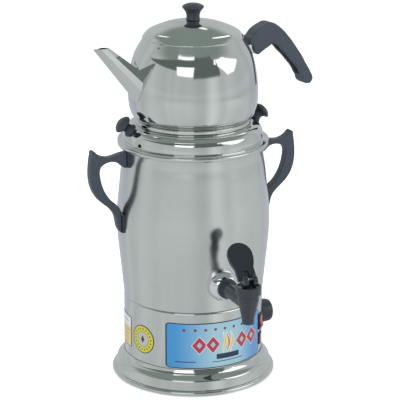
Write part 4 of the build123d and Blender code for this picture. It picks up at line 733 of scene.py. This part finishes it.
# %% Tank lid
lid_low_z, lid_top_z, brim = 327.8, 351.0, 1.5
steam_r, steam_lip, plug_r, plug_depth = 44.0, 6.0, 92.0, 9.0
lid_outline = through([
    (93.8, lid_low_z + brim), (93.5, 335.8), (92.4, 341.6), (89.6, 346.4), (84.8, 349.8), (78.0, lid_top_z),
], 9)
lid_profile = (
    [(plug_r, lid_low_z - plug_depth), (plug_r, lid_low_z)]
    + arc((rim_r - brim / 2, lid_low_z), (rim_r, lid_low_z + brim / 2),
          (rim_r - brim / 2, lid_low_z + brim), 8)
    + eased([(97.0, lid_low_z + brim), lid_outline[0], lid_outline[3]], 1.2)
    + lid_outline[4:]
    + eased([(76.0, lid_top_z), (steam_r, lid_top_z), (steam_r, lid_top_z - steam_lip),
             (steam_r + sheet, lid_top_z - steam_lip), (steam_r + sheet, lid_top_z - sheet),
             (77.0, lid_top_z - sheet)], 0.5)
    + offset(lid_outline, sheet)[-4:1:-1]
    + [(plug_r - sheet, lid_low_z + brim - 0.2), (plug_r - sheet, lid_low_z - plug_depth)]
)
tank_lid = spun("tank_lid_spun", lid_profile, steel)
finish_piece(tank_lid, "tank_lid", "tank_lid")

# %% [markdown]
# The base is a pressed drum that hides the electrics. Its upper edge is a soft quarter round,
# and a short collar stands up inside the barrel's lower end and centres it.

# %% Base shell
base_r, base_low_z, base_top_z = 94.5, 24.5, 113.5
collar_r, collar_height, press_edge = 91.0, 6.5, 3.2


def pressed_corner(radius, height, edge):
    """Quarter round from an upright wall to a level top."""
    slack = edge * (1 - sqrt(0.5))
    return arc((radius, height - edge), (radius - slack, height - slack), (radius - edge, height), 12)


base_profile = (
    [(base_r, base_low_z)] + pressed_corner(base_r, base_top_z, press_edge)
    + eased([(collar_r + 0.25, base_top_z), (collar_r, base_top_z), (collar_r, base_top_z + collar_height),
             (collar_r - sheet, base_top_z + collar_height), (collar_r - sheet, base_top_z - sheet)], 0.2)
    + pressed_corner(base_r - sheet, base_top_z - sheet, press_edge - sheet)[::-1]
    + [(base_r - sheet, base_low_z)]
)
base_shell = spun("base_shell_spun", base_profile, steel)
finish_piece(base_shell, "root", "base_shell")

# %% [markdown]
# The foot is a wide spun ring. It flares down from the base and ends in a rolled bead, which
# stands a little above the table because the rubber feet carry the weight.

# %% Foot ring
foot_r, foot_bead_r, foot_lift = 111.5, 3.5, 1.5
foot_bead_at = (foot_r - foot_bead_r, foot_lift + foot_bead_r)
foot_run = eased([
    foot_bead_at, (107.0, 9.0), (104.3, 21.0), (102.0, 23.4), (99.8, 25.2), (97.0, 29.0), (95.6, 33.5),
], 3.0)
foot_down = foot_run[::-1]
foot_profile = with_bead(foot_down, offset(foot_down, -sheet), foot_bead_at, foot_bead_r)
foot_ring = spun("foot_ring_spun", foot_profile, steel)
finish_piece(foot_ring, "root", "foot_ring")

# %% [markdown]
# ## Teapot
# The pot is one spun sheet: a flat floor, a belly that is widest low down, and a flange that
# turns in at the mouth. The profile runs up the outside and down the inside, so the pot is
# hollow when its lid is lifted.

# %% Teapot body
pot_floor_z, pot_floor_r = lid_top_z + 5.6, 74.0
mouth_r, mouth_z, flange = 65.8, 465.6, 5.0
pot_outline = through([
    (pot_floor_r, pot_floor_z), (79.6, pot_floor_z + 4.4), (85.2, 374.5), (86.6, 390.0), (84.0, 420.0),
    (77.2, 446.0), (69.9, 459.0), (mouth_r, mouth_z),
], 12)
pot_inside = offset(pot_outline, sheet)
pot_profile = (
    [(0, pot_floor_z)] + pot_outline
    + [(mouth_r - flange, mouth_z), (mouth_r - flange, mouth_z - sheet), (pot_inside[-3][0], mouth_z - 1.2)]
    + [p for p in reversed(pot_inside) if pot_floor_z + 1.2 < p[1] < mouth_z - 1.6]
    + [(pot_floor_r - sheet, pot_floor_z + sheet), (0, pot_floor_z + sheet)]
)
teapot_body = spun("teapot_body_spun", pot_profile, steel, closed=False)
finish_piece(teapot_body, "teapot", "teapot_body")

# %% [markdown]
# A disc is fixed under the pot. Its thin web spreads the heat, and its thick rim is the ring that
# the pot stands on. It is one closed profile, with its sharp corners eased.

# %% Base disc of the pot
disc_r, disc_rim, disc_web = 76.6, 8.0, 1.6
disc_hollow_r, disc_web_z = disc_r - disc_rim, pot_floor_z - disc_web
disc_profile = eased([
    (0, disc_web_z), (disc_hollow_r, disc_web_z), (disc_hollow_r, lid_top_z), (disc_r, lid_top_z),
    (disc_r, pot_floor_z), (0, pot_floor_z),
], 1.5)
base_disc = spun("teapot_base_disc_spun", disc_profile, steel, closed=False)
finish_piece(base_disc, "teapot", "teapot_base_disc")

# %% [markdown]
# The pot's lid is a low dome with a thin rolled lip, and a plug that drops into the mouth. The
# dome's curve is fuller at its shoulder than an arc would be.

# %% Teapot lid
lid_r, lip, apex_z = 67.1, 1.4, 488.5
plug_in_r, plug_in_depth = 61.3, 8.0
lid_dome = through([
    (0, apex_z), (lid_r * 0.22, apex_z - 0.6), (lid_r * 0.5, apex_z - 3.6), (lid_r * 0.8, apex_z - 11.0),
    (lid_r * 0.93, apex_z - 16.2), (lid_r - lip / 2, mouth_z + lip),
], 9)
pot_lid_profile = (
    lid_dome
    + arc((lid_r - lip / 2, mouth_z + lip), (lid_r, mouth_z + lip / 2), (lid_r - lip / 2, mouth_z), 6)[1:]
    + [(plug_in_r, mouth_z), (plug_in_r, mouth_z - plug_in_depth),
       (plug_in_r - sheet, mouth_z - plug_in_depth)]
    + through([(plug_in_r - sheet, mouth_z + sheet), (lid_r * 0.8, apex_z - 15.4),
               (lid_r * 0.45, apex_z - 5.6), (0, apex_z - sheet)], 8)
)
pot_lid = spun("teapot_lid_spun", pot_lid_profile, steel, closed=False)
finish_piece(pot_lid, "teapot_lid", "teapot_lid")

# %% [markdown]
# The spout stands over a field of small strainer holes in the pot's wall. A drill is a plain
# round cutter, and one exact boolean takes all of a piece's holes at once. The tank lid and the
# pot also have one small steam hole each.


# %% Small holes
def drilled(made, holes):
    """Cut round holes, each (azimuth, sideways shift, height, radius, from radius, to radius) in mm."""
    bm = bmesh.new()
    for turn, shift, height, radius, start, end in holes:
        middle = along(turn) * (start + end) / 2 * MM + across(turn) * shift * MM
        middle += Vector((0, 0, height * MM))
        stand = stand_on(middle / MM, across(turn), along(turn))
        bmesh.ops.create_cone(bm, cap_ends=True, segments=HOLE_STEPS, radius1=radius * MM,
                              radius2=radius * MM, depth=(end - start) * MM, matrix=stand)
    cut_away(made, from_bmesh(made.name + "_drill", bm, steel))
    smoothed(made.data)


spout_turn, strainer_z, pitch, strainer_hole_r = -80.7, 408.0, 6.0, 1.6
strainer = [(spout_turn, pitch * (column - 1), strainer_z + pitch * (row - 1.5), strainer_hole_r, 78, 92)
            for column in range(3) for row in range(4)]
pot_steam_hole = (-63.0, 0, 461.0, 1.1, 60, 76)
lid_steam_hole = (-70.7, 0, 334.5, 1.8, 85, 99)
drilled(teapot_body, strainer + [pot_steam_hole])
drilled(tank_lid, [lid_steam_hole])
print("holes in the pot:", len(strainer) + 1)

# %% [markdown]
# ## Handles, knobs and tap
# The handles are moulded in phenolic, with every edge round. A voxel remesh gives a sharp solid
# an even skin, and a few rounds of smoothing wear its edges as a mould would leave them.


# %% Soft moulded pieces
def pushed(mesh, turn, guides, blur=6.0):
    """Ease a flat grip: each guide moves the plastic near one (out, up) point to another."""
    starts = np.array([start for start, _ in guides], float)
    moves = np.array([end for _, end in guides], float) - starts
    out = along(turn)
    for vertex in mesh.vertices:
        at = np.array((vertex.co.dot(out), vertex.co.z)) / MM
        weight = 1.0 / (((starts - at) ** 2).sum(axis=1) + blur) ** 2
        move = (moves * weight[:, None]).sum(axis=0) / weight.sum()
        vertex.co += (out * move[0] + Vector((0, 0, move[1]))) * MM


def softened(name, source, finish, voxel, rounds, body, turn=0.0, guides=(), blocks=()):
    """Copy a solid with an even skin whose edges are worn round. The remesh joins blocks to it, each
    a (place, size in mm)."""
    bm = bmesh.new()
    bm.from_mesh(node[source].data)
    for stand, size in blocks:
        add_block(bm, stand, size)
    bmesh.ops.remove_doubles(bm, verts=bm.verts, dist=WELD)
    mesh = bpy.data.meshes.new(name)
    bm.to_mesh(mesh)
    bm.free()
    made = mesh_object(name, mesh, finish)
    even = made.modifiers.new("even_skin", "REMESH")
    even.mode, even.voxel_size = "VOXEL", voxel * MM
    relax = made.modifiers.new("relax", "SMOOTH")
    relax.factor, relax.iterations = 0.5, rounds
    settle(made)
    if guides:
        pushed(made.data, turn, guides)
    put_finish(made.data, finish)
    made.data.shade_smooth()
    finish_piece(made, body, source)


for side in ("right", "left"):
    softened(f"side_handle_{side}_moulded", f"side_handle_{side}", handle_plastic, 0.7, 16, "root")

# %% [markdown]
# The teapot's handle is a free curve that suits a hand. It is smoothed like the others, and then
# its grip is eased near a few points, as a sculptor pushes clay. Each guide says how far out and
# up from the handle's root a point lies, and where it goes.

# %% Teapot handle
pot_handle_turn, grip_out, grip_up = 99.3, 84.4, 450.9
grip_guides = [
    ((0, 0), (0, 0)), ((7.5, 15.5), (8.5, 12)), ((19, 23.2), (20.5, 19.6)), ((33.6, 25.5), (35, 23)),
    ((45, 20), (46, 17.6)), ((62, 4.4), (62, 2.8)), ((79.2, -16.8), (78.4, -17.6)),
    ((96.7, -41.8), (95, -42.6)), ((106.6, -57), (103.8, -57)), ((106.4, -64.6), (104.2, -64.2)),
    ((98, -68.6), (98, -68.4)), ((89.4, -67.4), (91.6, -67)), ((85.4, -62), (87.4, -61.4)),
    ((80.6, -49), (81.4, -49.4)), ((66.2, -30.7), (66.4, -31)), ((49.2, -12.2), (49.2, -13.4)),
    ((40, -2.2), (40, -4.2)), ((17.2, -16.5), (13.4, -19.4)),
]
placed_guides = [tuple((grip_out + out, grip_up + up) for out, up in guide) for guide in grip_guides]
softened("teapot_handle_moulded", "teapot_handle", handle_plastic, 0.8, 18, "teapot",
         turn=pot_handle_turn, guides=placed_guides)

# %% [markdown]
# The tap's body is one moulding: a flange, an arm and an upright nozzle. Its edges are nearly
# sharp, so it gets a finer skin and only a few rounds of smoothing.

# %% Tap body
softened("tap_body_moulded", "tap_body", tap_plastic, 0.5, 6, "root")

# %% [markdown]
# The tap's lever is a flat paddle on a fork. The real paddle runs into its fork by two rounded
# shoulders. A thin dark web at the back of the fork's slot is painted shade: it makes the slot look
# shadowed instead of showing the barrel through it. Three blocks stand for them: the remesh joins
# them to the lever, and the smoothing rounds them with it.

# %% Tap lever
tap_reach, lever_pin_z = 180.0, 180.796
lever_pin = Vector((0, -tap_reach, lever_pin_z))
lever_along, lever_up = Vector((0, 0.682, 0.731)), Vector((0, -0.731, 0.682))


def on_lever(sideways, up_lever, over):
    """Place of a block on the lever, in mm from its pin."""
    middle = lever_pin + Vector((sideways, 0, 0)) + lever_along * up_lever + lever_up * over
    return stand_on(middle, (1, 0, 0), lever_up)


shade_web_size, shoulder_size = (7.8, 10.0, 2.4), (5.6, 17.6, 5.4)
# The web block is painted shade: a dark sheet behind the fork's slot makes the slot look shadowed.
lever_blocks = [(on_lever(0, 13.2, -1.6), shade_web_size)]
lever_blocks += [(on_lever(sign * 10.0, 13.6, 0), shoulder_size) for sign in (1, -1)]
softened("tap_lever_moulded", "tap_lever", lever_plastic, 0.4, 14, "tap_lever",
         blocks=lever_blocks)

# %% [markdown]
# The two knobs of the tank lid are round mushrooms that lean outwards. They are turned like the
# steel pieces, about an axis that is square to the lid's shoulder.

# %% Lid knobs
knob_base_r, knob_cap_r = 9.4, 12.6
knob_seat_r, knob_seat_z, knob_lean_out, knob_lean_up = 87.95, 346.19, 0.7540, 0.6569
lid_knob_run = (
    [(0, 1.3), (knob_base_r, 1.3), (knob_base_r, 2.8)]
    + through([(knob_base_r, 2.8), (6.6, 6.9), (6.9, 10.8), (11.4, 14.4)], 8)[1:]
    + through([(11.4, 14.4), (knob_cap_r, 15.9), (11.6, 17.8)], 6)[1:]
    + through([(11.6, 17.8), (7.2, 21.2), (0, 22.4)], 10)[1:]
)
for side, sign in (("right", 1), ("left", -1)):
    knob_axis = (sign * knob_lean_out, 0, knob_lean_up)
    stand = stand_on((sign * knob_seat_r, 0, knob_seat_z), (0, 1, 0), knob_axis)
    lid_knob = spun(f"lid_knob_{side}_moulded", lid_knob_run, knob_plastic, stand, closed=False, steps=96)
    finish_piece(lid_knob, "tank_lid", f"lid_knob_{side}")

# %% [markdown]
# The dome behind the tap is turned about the tap's own level axis. Its open edge is laid on the
# barrel: each vertex of its last rings slides along the axis until it meets the tank's wall.

# %% Chrome dome
tap_z, wall_gap = 152.5, 0.05
dome_nose = -1000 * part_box("tap_escutcheon")[0].y
dome_r, nose_r, shank_r = 21.0, 14.0, 7.9
skirt_at = dome_nose - 13.0
dome_belly = (nose_r + 0.74 * (dome_r - nose_r), dome_nose - 5.6)
dome_run = [(dome_r, skirt_at - 2)] + arc((dome_r, skirt_at), dome_belly, (nose_r, dome_nose), 22)
dome_profile = (
    dome_run + [(shank_r, dome_nose), (shank_r, dome_nose - sheet)]
    + [(r, a) for r, a in offset(dome_run, sheet)[::-1] if a < dome_nose - sheet]
    + [(dome_r - sheet, skirt_at - 2)]
)
bm = bmesh.new()
turned(bm, dome_profile, stand_on((0, 0, tap_z), (1, 0, 0), (0, -1, 0)))
for vertex in bm.verts:
    if -vertex.co.y < (skirt_at - 1) * MM:
        wall = radius_at(barrel_outline, vertex.co.z / MM) + wall_gap
        vertex.co.y = -sqrt(wall ** 2 - (vertex.co.x / MM) ** 2) * MM
tap_dome = from_bmesh("tap_dome_spun", bm, chrome)
finish_piece(tap_dome, "root", "tap_escutcheon")

# %% [markdown]
# The bonnet is the round cap that screws into the tap's body and guides the stem. It is turned
# about the stem's upright axis, with a shallow dish on top.

# %% Bonnet
stem_hole_r, thread_r, bonnet_r, dish_r = 3.06, 8.9, 16.5, 13.8
thread_low, bonnet_low, dish_z, bonnet_top = 162.0, 167.0, 176.0, 178.0
bonnet_profile = eased([
    (stem_hole_r, thread_low), (thread_r, thread_low), (thread_r, bonnet_low), (bonnet_r, bonnet_low),
    (bonnet_r, bonnet_top), (dish_r, bonnet_top), (dish_r, dish_z), (stem_hole_r, dish_z),
], 0.9, 6)
bonnet = spun("tap_bonnet_turned", bonnet_profile, tap_plastic, Matrix.Translation((0, -tap_reach * MM, 0)))
finish_piece(bonnet, "root", "tap_bonnet")

# %% [markdown]
# The tap's spring is pressed together as the lever lifts the seat cup. Here its solid is only
# copied, closed and finished in blackened steel, and it rides on no body.

# %% Tap spring
bm = bmesh.new()
bm.from_mesh(node["tap_spring"].data)
spring = from_bmesh("tap_spring_wound", bm, dark_steel)
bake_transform(spring)
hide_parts("tap_spring")

# %% [markdown]
# The heat control is a moulded knob with a low skirt round its grip. It is hollow behind, with a
# boss for the shaft, and it is turned about a level axis that points to the right.

# %% Control knob
knob_out = 1000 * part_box("thermostat_knob")[1].x
knob_low, knob_z = knob_out - 21.0, 68.0
bore_r, boss_r, hollow_r, skirt_r = 3.0, 5.6, 14.6, 19.4
bore_end, hollow_end, skirt_end = knob_low + 12.0, knob_low + 7.5, knob_low + 3.4
grip_run = through([(16.4, knob_low + 3.9), (15.9, knob_low + 12.6), (14.2, knob_low + 18.2),
                    (8.4, knob_low + 20.4), (0, knob_out)], 8)
knob_profile = (
    [(0, bore_end), (bore_r, bore_end), (bore_r, knob_low), (boss_r, knob_low), (boss_r, hollow_end),
     (hollow_r, hollow_end), (hollow_r, skirt_end), (17.6, knob_low)]
    + eased([(17.7, knob_low), (skirt_r, knob_low), (skirt_r, skirt_end), (16.6, skirt_end)], 0.9)
    + grip_run
)
knob = spun("thermostat_knob_turned", knob_profile, knob_plastic,
            stand_on((0, 0, knob_z), (0, 1, 0), (1, 0, 0)), closed=False)
finish_piece(knob, "thermostat_knob", "thermostat_knob")

# %% [markdown]
# ## Repeats
# The base stands on four equal feet, and three equal screws hold its bottom cover. One Geometry
# Nodes tree sets both round a circle: it stands copies on the circle's points, turns each to face
# out, makes them real and gives them their finish.


# %% Ring of copies
def ring_tree():
    """Geometry Nodes tree that sets copies of the incoming piece round a circle."""
    tree = bpy.data.node_groups.new("ring_of_copies", "GeometryNodeTree")
    wanted = {"Piece": "Geometry", "Count": "Int", "Radius": "Float", "Start": "Float", "Finish": "Material"}
    sockets = {label: tree.interface.new_socket(label, in_out="INPUT", socket_type="NodeSocket" + kind)
               for label, kind in wanted.items()}
    tree.interface.new_socket("Copies", in_out="OUTPUT", socket_type="NodeSocketGeometry")
    given = place(tree, "NodeGroupInput").outputs
    circle_inputs = {"Vertices": given["Count"], "Radius": given["Radius"]}
    circle = output_of(tree, "GeometryNodeMeshCircle", circle_inputs)
    start_turn = output_of(tree, "ShaderNodeCombineXYZ", {"Z": given["Start"]})
    swung = output_of(tree, "GeometryNodeTransform", {"Geometry": circle, "Rotation": start_turn})
    share = sums(tree, "DIVIDE", place(tree, "GeometryNodeInputIndex").outputs[0], given["Count"])
    facing = sums(tree, "MULTIPLY_ADD", share, 2 * pi, given["Start"])
    face_out = output_of(tree, "ShaderNodeCombineXYZ", {"Z": facing})
    copy_inputs = {"Points": swung, "Instance": given["Piece"], "Rotation": face_out}
    copies = output_of(tree, "GeometryNodeInstanceOnPoints", copy_inputs)
    real = output_of(tree, "GeometryNodeRealizeInstances", {0: copies})
    coat_inputs = {"Geometry": real, "Material": given["Finish"]}
    coated = output_of(tree, "GeometryNodeSetMaterial", coat_inputs)
    feed(tree, place(tree, "NodeGroupOutput").inputs[0], coated)
    return tree, {label: socket.identifier for label, socket in sockets.items()}


ring, ring_keys = ring_tree()


def set_round(made, count, radius, start, finish):
    """Replace a piece by its copies round a circle."""
    repeat = made.modifiers.new("ring", "NODES")
    repeat.node_group = ring
    given = {"Count": count, "Radius": radius * MM, "Start": radians(start), "Finish": finish}
    for label, value in given.items():
        repeat[ring_keys[label]] = value
    settle(made)
    smoothed(made.data)


print("the ring tree has", len(ring.nodes), "nodes")

# %% [markdown]
# A rubber foot is a thick pad with a barbed plug, which snaps into a hole of the bottom cover.

# %% Rubber feet
feet_ring_r, pad_r, pad_height, neck_r, barb_r = 88.0, 8.0, 5.0, 3.0, 4.6
rubber_profile = eased([
    (0, 0), (pad_r, 0), (pad_r, pad_height), (neck_r, pad_height), (neck_r, pad_height + 1),
    (barb_r, pad_height + 1), (barb_r, 7.8), (0, 7.8),
], 0.9)
feet = spun("rubber_feet_moulded", rubber_profile, rubber, closed=False, steps=64)
set_round(feet, 4, feet_ring_r, 45.0, rubber)
finish_piece(feet, "root", "rubber_feet")

# %% [markdown]
# The cover's screws are short, with round heads and one straight slot. The slot is cut before the
# screw is copied, so the three are the same.

# %% Cover screws
cover_screw_ring_r, head_r, head_low, head_high = 70.0, 3.6, 2.6, 5.0
shank_end, screw_shank_r = 16.0, 1.95
slot_size = (7.4, 0.9, 2.0)
screw_profile = eased([
    (0, head_low), (head_r, head_low), (head_r, head_high), (screw_shank_r, head_high),
    (screw_shank_r, shank_end), (0, shank_end),
], 0.5)
cover_screws = spun("cover_screws_turned", screw_profile, screw_steel, closed=False, steps=48)
bm = bmesh.new()
add_block(bm, Matrix.Translation((0, 0, head_low * MM)), slot_size)
cut_away(cover_screws, from_bmesh("slot_cutter", bm, screw_steel))
set_round(cover_screws, 3, cover_screw_ring_r, 90.0, screw_steel)
finish_piece(cover_screws, "root", "bottom_cover_screws")

# %% [markdown]
# ## Labels
# Printed film labels lie on the base. Their art is drawn by the material from distances: each
# mark is a circle, a lozenge, a bar or a wave with a soft edge. The marks are plain ornament.


# %% Label tools
def flat_place(tree, turn, height):
    """Millimetres to the right and up from a label's centre, seen square on."""
    point = object_point(tree)
    sideways = {0: point, 1: across(turn) / MM}
    u = output_of(tree, "ShaderNodeVectorMath", sideways, "Value", operation="DOT_PRODUCT")
    return u, sums(tree, "MULTIPLY_ADD", parts_of(tree, point)[2], 1 / MM, -height)


def inside(tree, distance, limit=0.0, soft=0.18):
    """One where a distance is under its limit."""
    return ramp_between(tree, distance, limit + soft, limit - soft)


def from_centre(tree, value, centre):
    """Distance either way from a centre line."""
    return sums(tree, "ABSOLUTE", sums(tree, "SUBTRACT", value, centre))


def round_distance(tree, u, v, at, radius):
    """Distance outside a circle."""
    from_middle = length_of(tree, sums(tree, "SUBTRACT", u, at[0]), sums(tree, "SUBTRACT", v, at[1]))
    return sums(tree, "SUBTRACT", from_middle, radius)


def box_distance(tree, u, v, at, half, corner=0.0):
    """Distance outside a box with rounded corners, less than nothing inside."""
    du = sums(tree, "SUBTRACT", from_centre(tree, u, at[0]), half[0] - corner)
    dv = sums(tree, "SUBTRACT", from_centre(tree, v, at[1]), half[1] - corner)
    past = length_of(tree, sums(tree, "MAXIMUM", du, 0.0), sums(tree, "MAXIMUM", dv, 0.0))
    near = sums(tree, "MINIMUM", sums(tree, "MAXIMUM", du, dv), 0.0)
    return sums(tree, "SUBTRACT", sums(tree, "ADD", past, near), corner)


def lozenge_distance(tree, u, v, at, half):
    """Distance outside a lozenge, near enough for a printed mark."""
    run = sums(tree, "DIVIDE", from_centre(tree, u, at[0]), half[0])
    rise = sums(tree, "DIVIDE", from_centre(tree, v, at[1]), half[1])
    past = sums(tree, "SUBTRACT", sums(tree, "ADD", run, rise), 1.0)
    return sums(tree, "MULTIPLY", past, min(half))


def steam_distance(tree, u, v, at, length, swing, width):
    """Distance from an upright wavy stroke that thins out at both ends."""
    phase = sums(tree, "MULTIPLY_ADD", v, 2 * pi / length, at[1])
    wave = sums(tree, "MULTIPLY", sums(tree, "SINE", phase), swing)
    off_line = sums(tree, "ABSOLUTE", sums(tree, "SUBTRACT", sums(tree, "SUBTRACT", u, at[0]), wave))
    share = sums(tree, "DIVIDE", from_centre(tree, v, at[2]), length / 2)
    thinning = sums(tree, "SUBTRACT", 1.0, sums(tree, "MULTIPLY", share, share))
    return sums(tree, "SUBTRACT", off_line, sums(tree, "MULTIPLY", thinning, width))


def inked(tree, colour, distance, ink, limit=0.0):
    """Print a mark in one ink over what is there."""
    return blend_colour(tree, inside(tree, distance, limit), colour, ink)


def label_finish(name, turn, height):
    """Clear-coated film: gives the material, its tree, its shader and its two axes."""
    made, tree, shader = new_finish(name, (1, 1, 1), roughness=0.3, coat=0.35, coat_roughness=0.08)
    u, v = flat_place(tree, turn, height)
    fibre = noise(tree, object_point(tree), 900.0, 3.0)
    feed(tree, shader.inputs["Roughness"], ramp(tree, fibre, 0.24, 0.36))
    bump(tree, shader, noise(tree, object_point(tree), 160.0, 2.0), 0.00003, 0.5)
    return made, tree, shader, u, v


print("label tools are ready")

# %% [markdown]
# The front label is a blue film that turns paler to its middle. Red lozenges stand on each side
# of three wisps of steam in gold and orange, under a row of dark dots, with a navy edge round it.

# %% Front label
navy, crimson, dot_red = (0.012, 0.022, 0.07), (0.55, 0.035, 0.06), (0.24, 0.02, 0.04)
gold, orange, white = (0.85, 0.62, 0.12), (0.75, 0.25, 0.03), (0.9, 0.92, 0.93)
deep_blue, pale_blue, right_blue = (0.045, 0.32, 0.69), (0.40, 0.65, 0.78), (0.10, 0.34, 0.74)
lozenge_blue = (0.38, 0.63, 0.76)
blue_label, tree, shader, u, v = label_finish("front_label_print", 0.0, 67.0)
colour = blend_colour(tree, ramp_between(tree, u, -66.0, -2.0), deep_blue, pale_blue)
colour = blend_colour(tree, ramp_between(tree, u, 22.0, 62.0), colour, right_blue)
for k in range(7):
    colour = inked(tree, colour, round_distance(tree, u, v, (-48 + 13.5 * k, 22.5), 1.9), dot_red)
for x in (-29.0, -11.0, 33.0, 51.0):
    lozenge = lozenge_distance(tree, u, v, (x, 1.0), (9.6, 12.0))
    colour = inked(tree, inked(tree, colour, lozenge, white, 0.9), lozenge, crimson)
    colour = inked(tree, colour, lozenge_distance(tree, u, v, (x, 1.0), (3.6, 4.6)), lozenge_blue)
for x, phase, ink in ((5.5, 0.4, gold), (11.0, 1.2, orange), (16.5, 0.4, gold)):
    stroke = steam_distance(tree, u, v, (x, phase, 2.0), 27.0, 1.7, 1.7)
    colour = inked(tree, inked(tree, colour, stroke, white, 0.8), stroke, ink)
colour = inked(tree, colour, box_distance(tree, u, v, (11.0, -16.5), (17.0, 3.6), 1.2), navy)
colour = inked(tree, colour, box_distance(tree, u, v, (-46.0, -22.5), (12.0, 0.6)), navy)
colour = inked(tree, colour, box_distance(tree, u, v, (11.0, -23.5), (23.0, 0.5)), navy)
edge = box_distance(tree, u, v, (0.0, 0.0), (68.0, 32.0), 4.5)
colour = blend_colour(tree, ramp_between(tree, edge, -1.5, -1.1), colour, navy)
feed(tree, shader.inputs["Base Color"], colour)
print("front label nodes:", len(tree.nodes))

# %% [markdown]
# The round sticker is a yellow seal with a ring of tick marks and a grey middle. Sine of the
# angle makes the ticks, so their number is one value.

# %% Round sticker
yellow, tick_ink, ring_ink = (0.74, 0.66, 0.03), (0.16, 0.14, 0.03), (0.2, 0.19, 0.05)
middle_grey, pip_ink = (0.55, 0.56, 0.54), (0.02, 0.02, 0.03)
round_label, tree, shader, u, v = label_finish("round_sticker_print", -68.5, 66.5)
colour = inked(tree, navy, round_distance(tree, u, v, (0, 0), 18.6), yellow)
tick_count = 18.0
tick = sums(tree, "SINE", sums(tree, "MULTIPLY", sums(tree, "ARCTAN2", v, u), tick_count))
ring_gap = sums(tree, "SUBTRACT", from_centre(tree, round_distance(tree, u, v, (0, 0), 0.0), 14.6), 1.3)
marks = sums(tree, "MULTIPLY", inside(tree, ring_gap), ramp_between(tree, tick, 0.1, 0.5))
colour = blend_colour(tree, marks, colour, tick_ink)
colour = inked(tree, colour, round_distance(tree, u, v, (0, 0), 10.9), ring_ink)
colour = inked(tree, colour, round_distance(tree, u, v, (0, 0), 10.2), middle_grey)
colour = inked(tree, colour, lozenge_distance(tree, u, v, (0, 0), (3.2, 5.4)), pip_ink)
feed(tree, shader.inputs["Base Color"], colour)
print("round sticker nodes:", len(tree.nodes))

# %% [markdown]
# The side sticker stands for a rating plate: a white head over a lemon field, with a few plain
# bars where the figures would be.

# %% Side sticker
lemon, bar_ink = (0.86, 0.70, 0.20), (0.78, 0.40, 0.10)
head_ink, edge_ink = (0.45, 0.47, 0.5), (0.10, 0.10, 0.09)
side_label, tree, shader, u, v = label_finish("side_sticker_print", -97.0, 68.2)
colour = blend_colour(tree, ramp_between(tree, v, 6.2, 6.6), lemon, white)
for k in range(4):
    bar = box_distance(tree, u, v, (2.0, 1.0 - 6.0 * k), (13.0 - 2 * k, 1.2))
    colour = inked(tree, colour, bar, bar_ink)
colour = inked(tree, colour, box_distance(tree, u, v, (0, 13.5), (11, 1.0)), head_ink)
edge = box_distance(tree, u, v, (0.0, 0.0), (20.0, 21.7), 2.0)
colour = blend_colour(tree, ramp_between(tree, edge, -1.1, -0.8), colour, edge_ink)
feed(tree, shader.inputs["Base Color"], colour)
print("side sticker nodes:", len(tree.nodes))

# %% [markdown]
# ## Solids that stay
# The spout, flat plates, small fasteners and the parts inside keep their solids, because their
# shape is right as it is. Each takes the finish of its real material, but the side handles'
# brackets take dark tap plastic as painted shade, so the gap behind the grips looks shadowed.

# %% Solids that stay
kept_solids = [
    (cover_steel, "bottom_cover base_posts"),
    (tank_steel, "tank_floor"),
    (element_metal, "heating_element"),
    (silicone, "element_seals tap_gasket tap_seat_cup"),
    (brass, "element_nuts inlet_pins"),
    (black_plastic, "thermal_cutout thermostat_bezel rocker_frame pilot_lamp_bezel power_inlet"),
    (screw_steel, "lid_knob_screws teapot_handle_screw teapot_lid_screw side_handle_screws "
                  "thermostat_screws thermostat_shaft inlet_screws inlet_nuts terminal_block_screw"),
    (steel, "teapot_spout"),
    (chrome, "teapot_handle_bracket"),
    (knob_plastic, "teapot_lid_knob"),
    # The side handles' brackets take the dark tap plastic as painted shade, so the gap behind the grips looks
    # shadowed.
    (tap_plastic, "tap_nut side_handle_brackets"),
    (dark_steel, "tap_stem tap_lever_pin"),
    (thermostat_case, "thermostat_body terminal_block"),
    (copper, "thermostat_capillary"),
    (rocker_red, "rocker"),
    (lamp_lens_red, "pilot_lamp_lens"),
    (wire_cover, "internal_wires"),
    (blue_label, "front_label"),
    (round_label, "round_sticker"),
    (side_label, "side_sticker"),
]
for finish, names in kept_solids:
    for name in names.split():
        put_finish(node[name].data, finish)
print("finishes on solids that stay:", len(kept_solids))
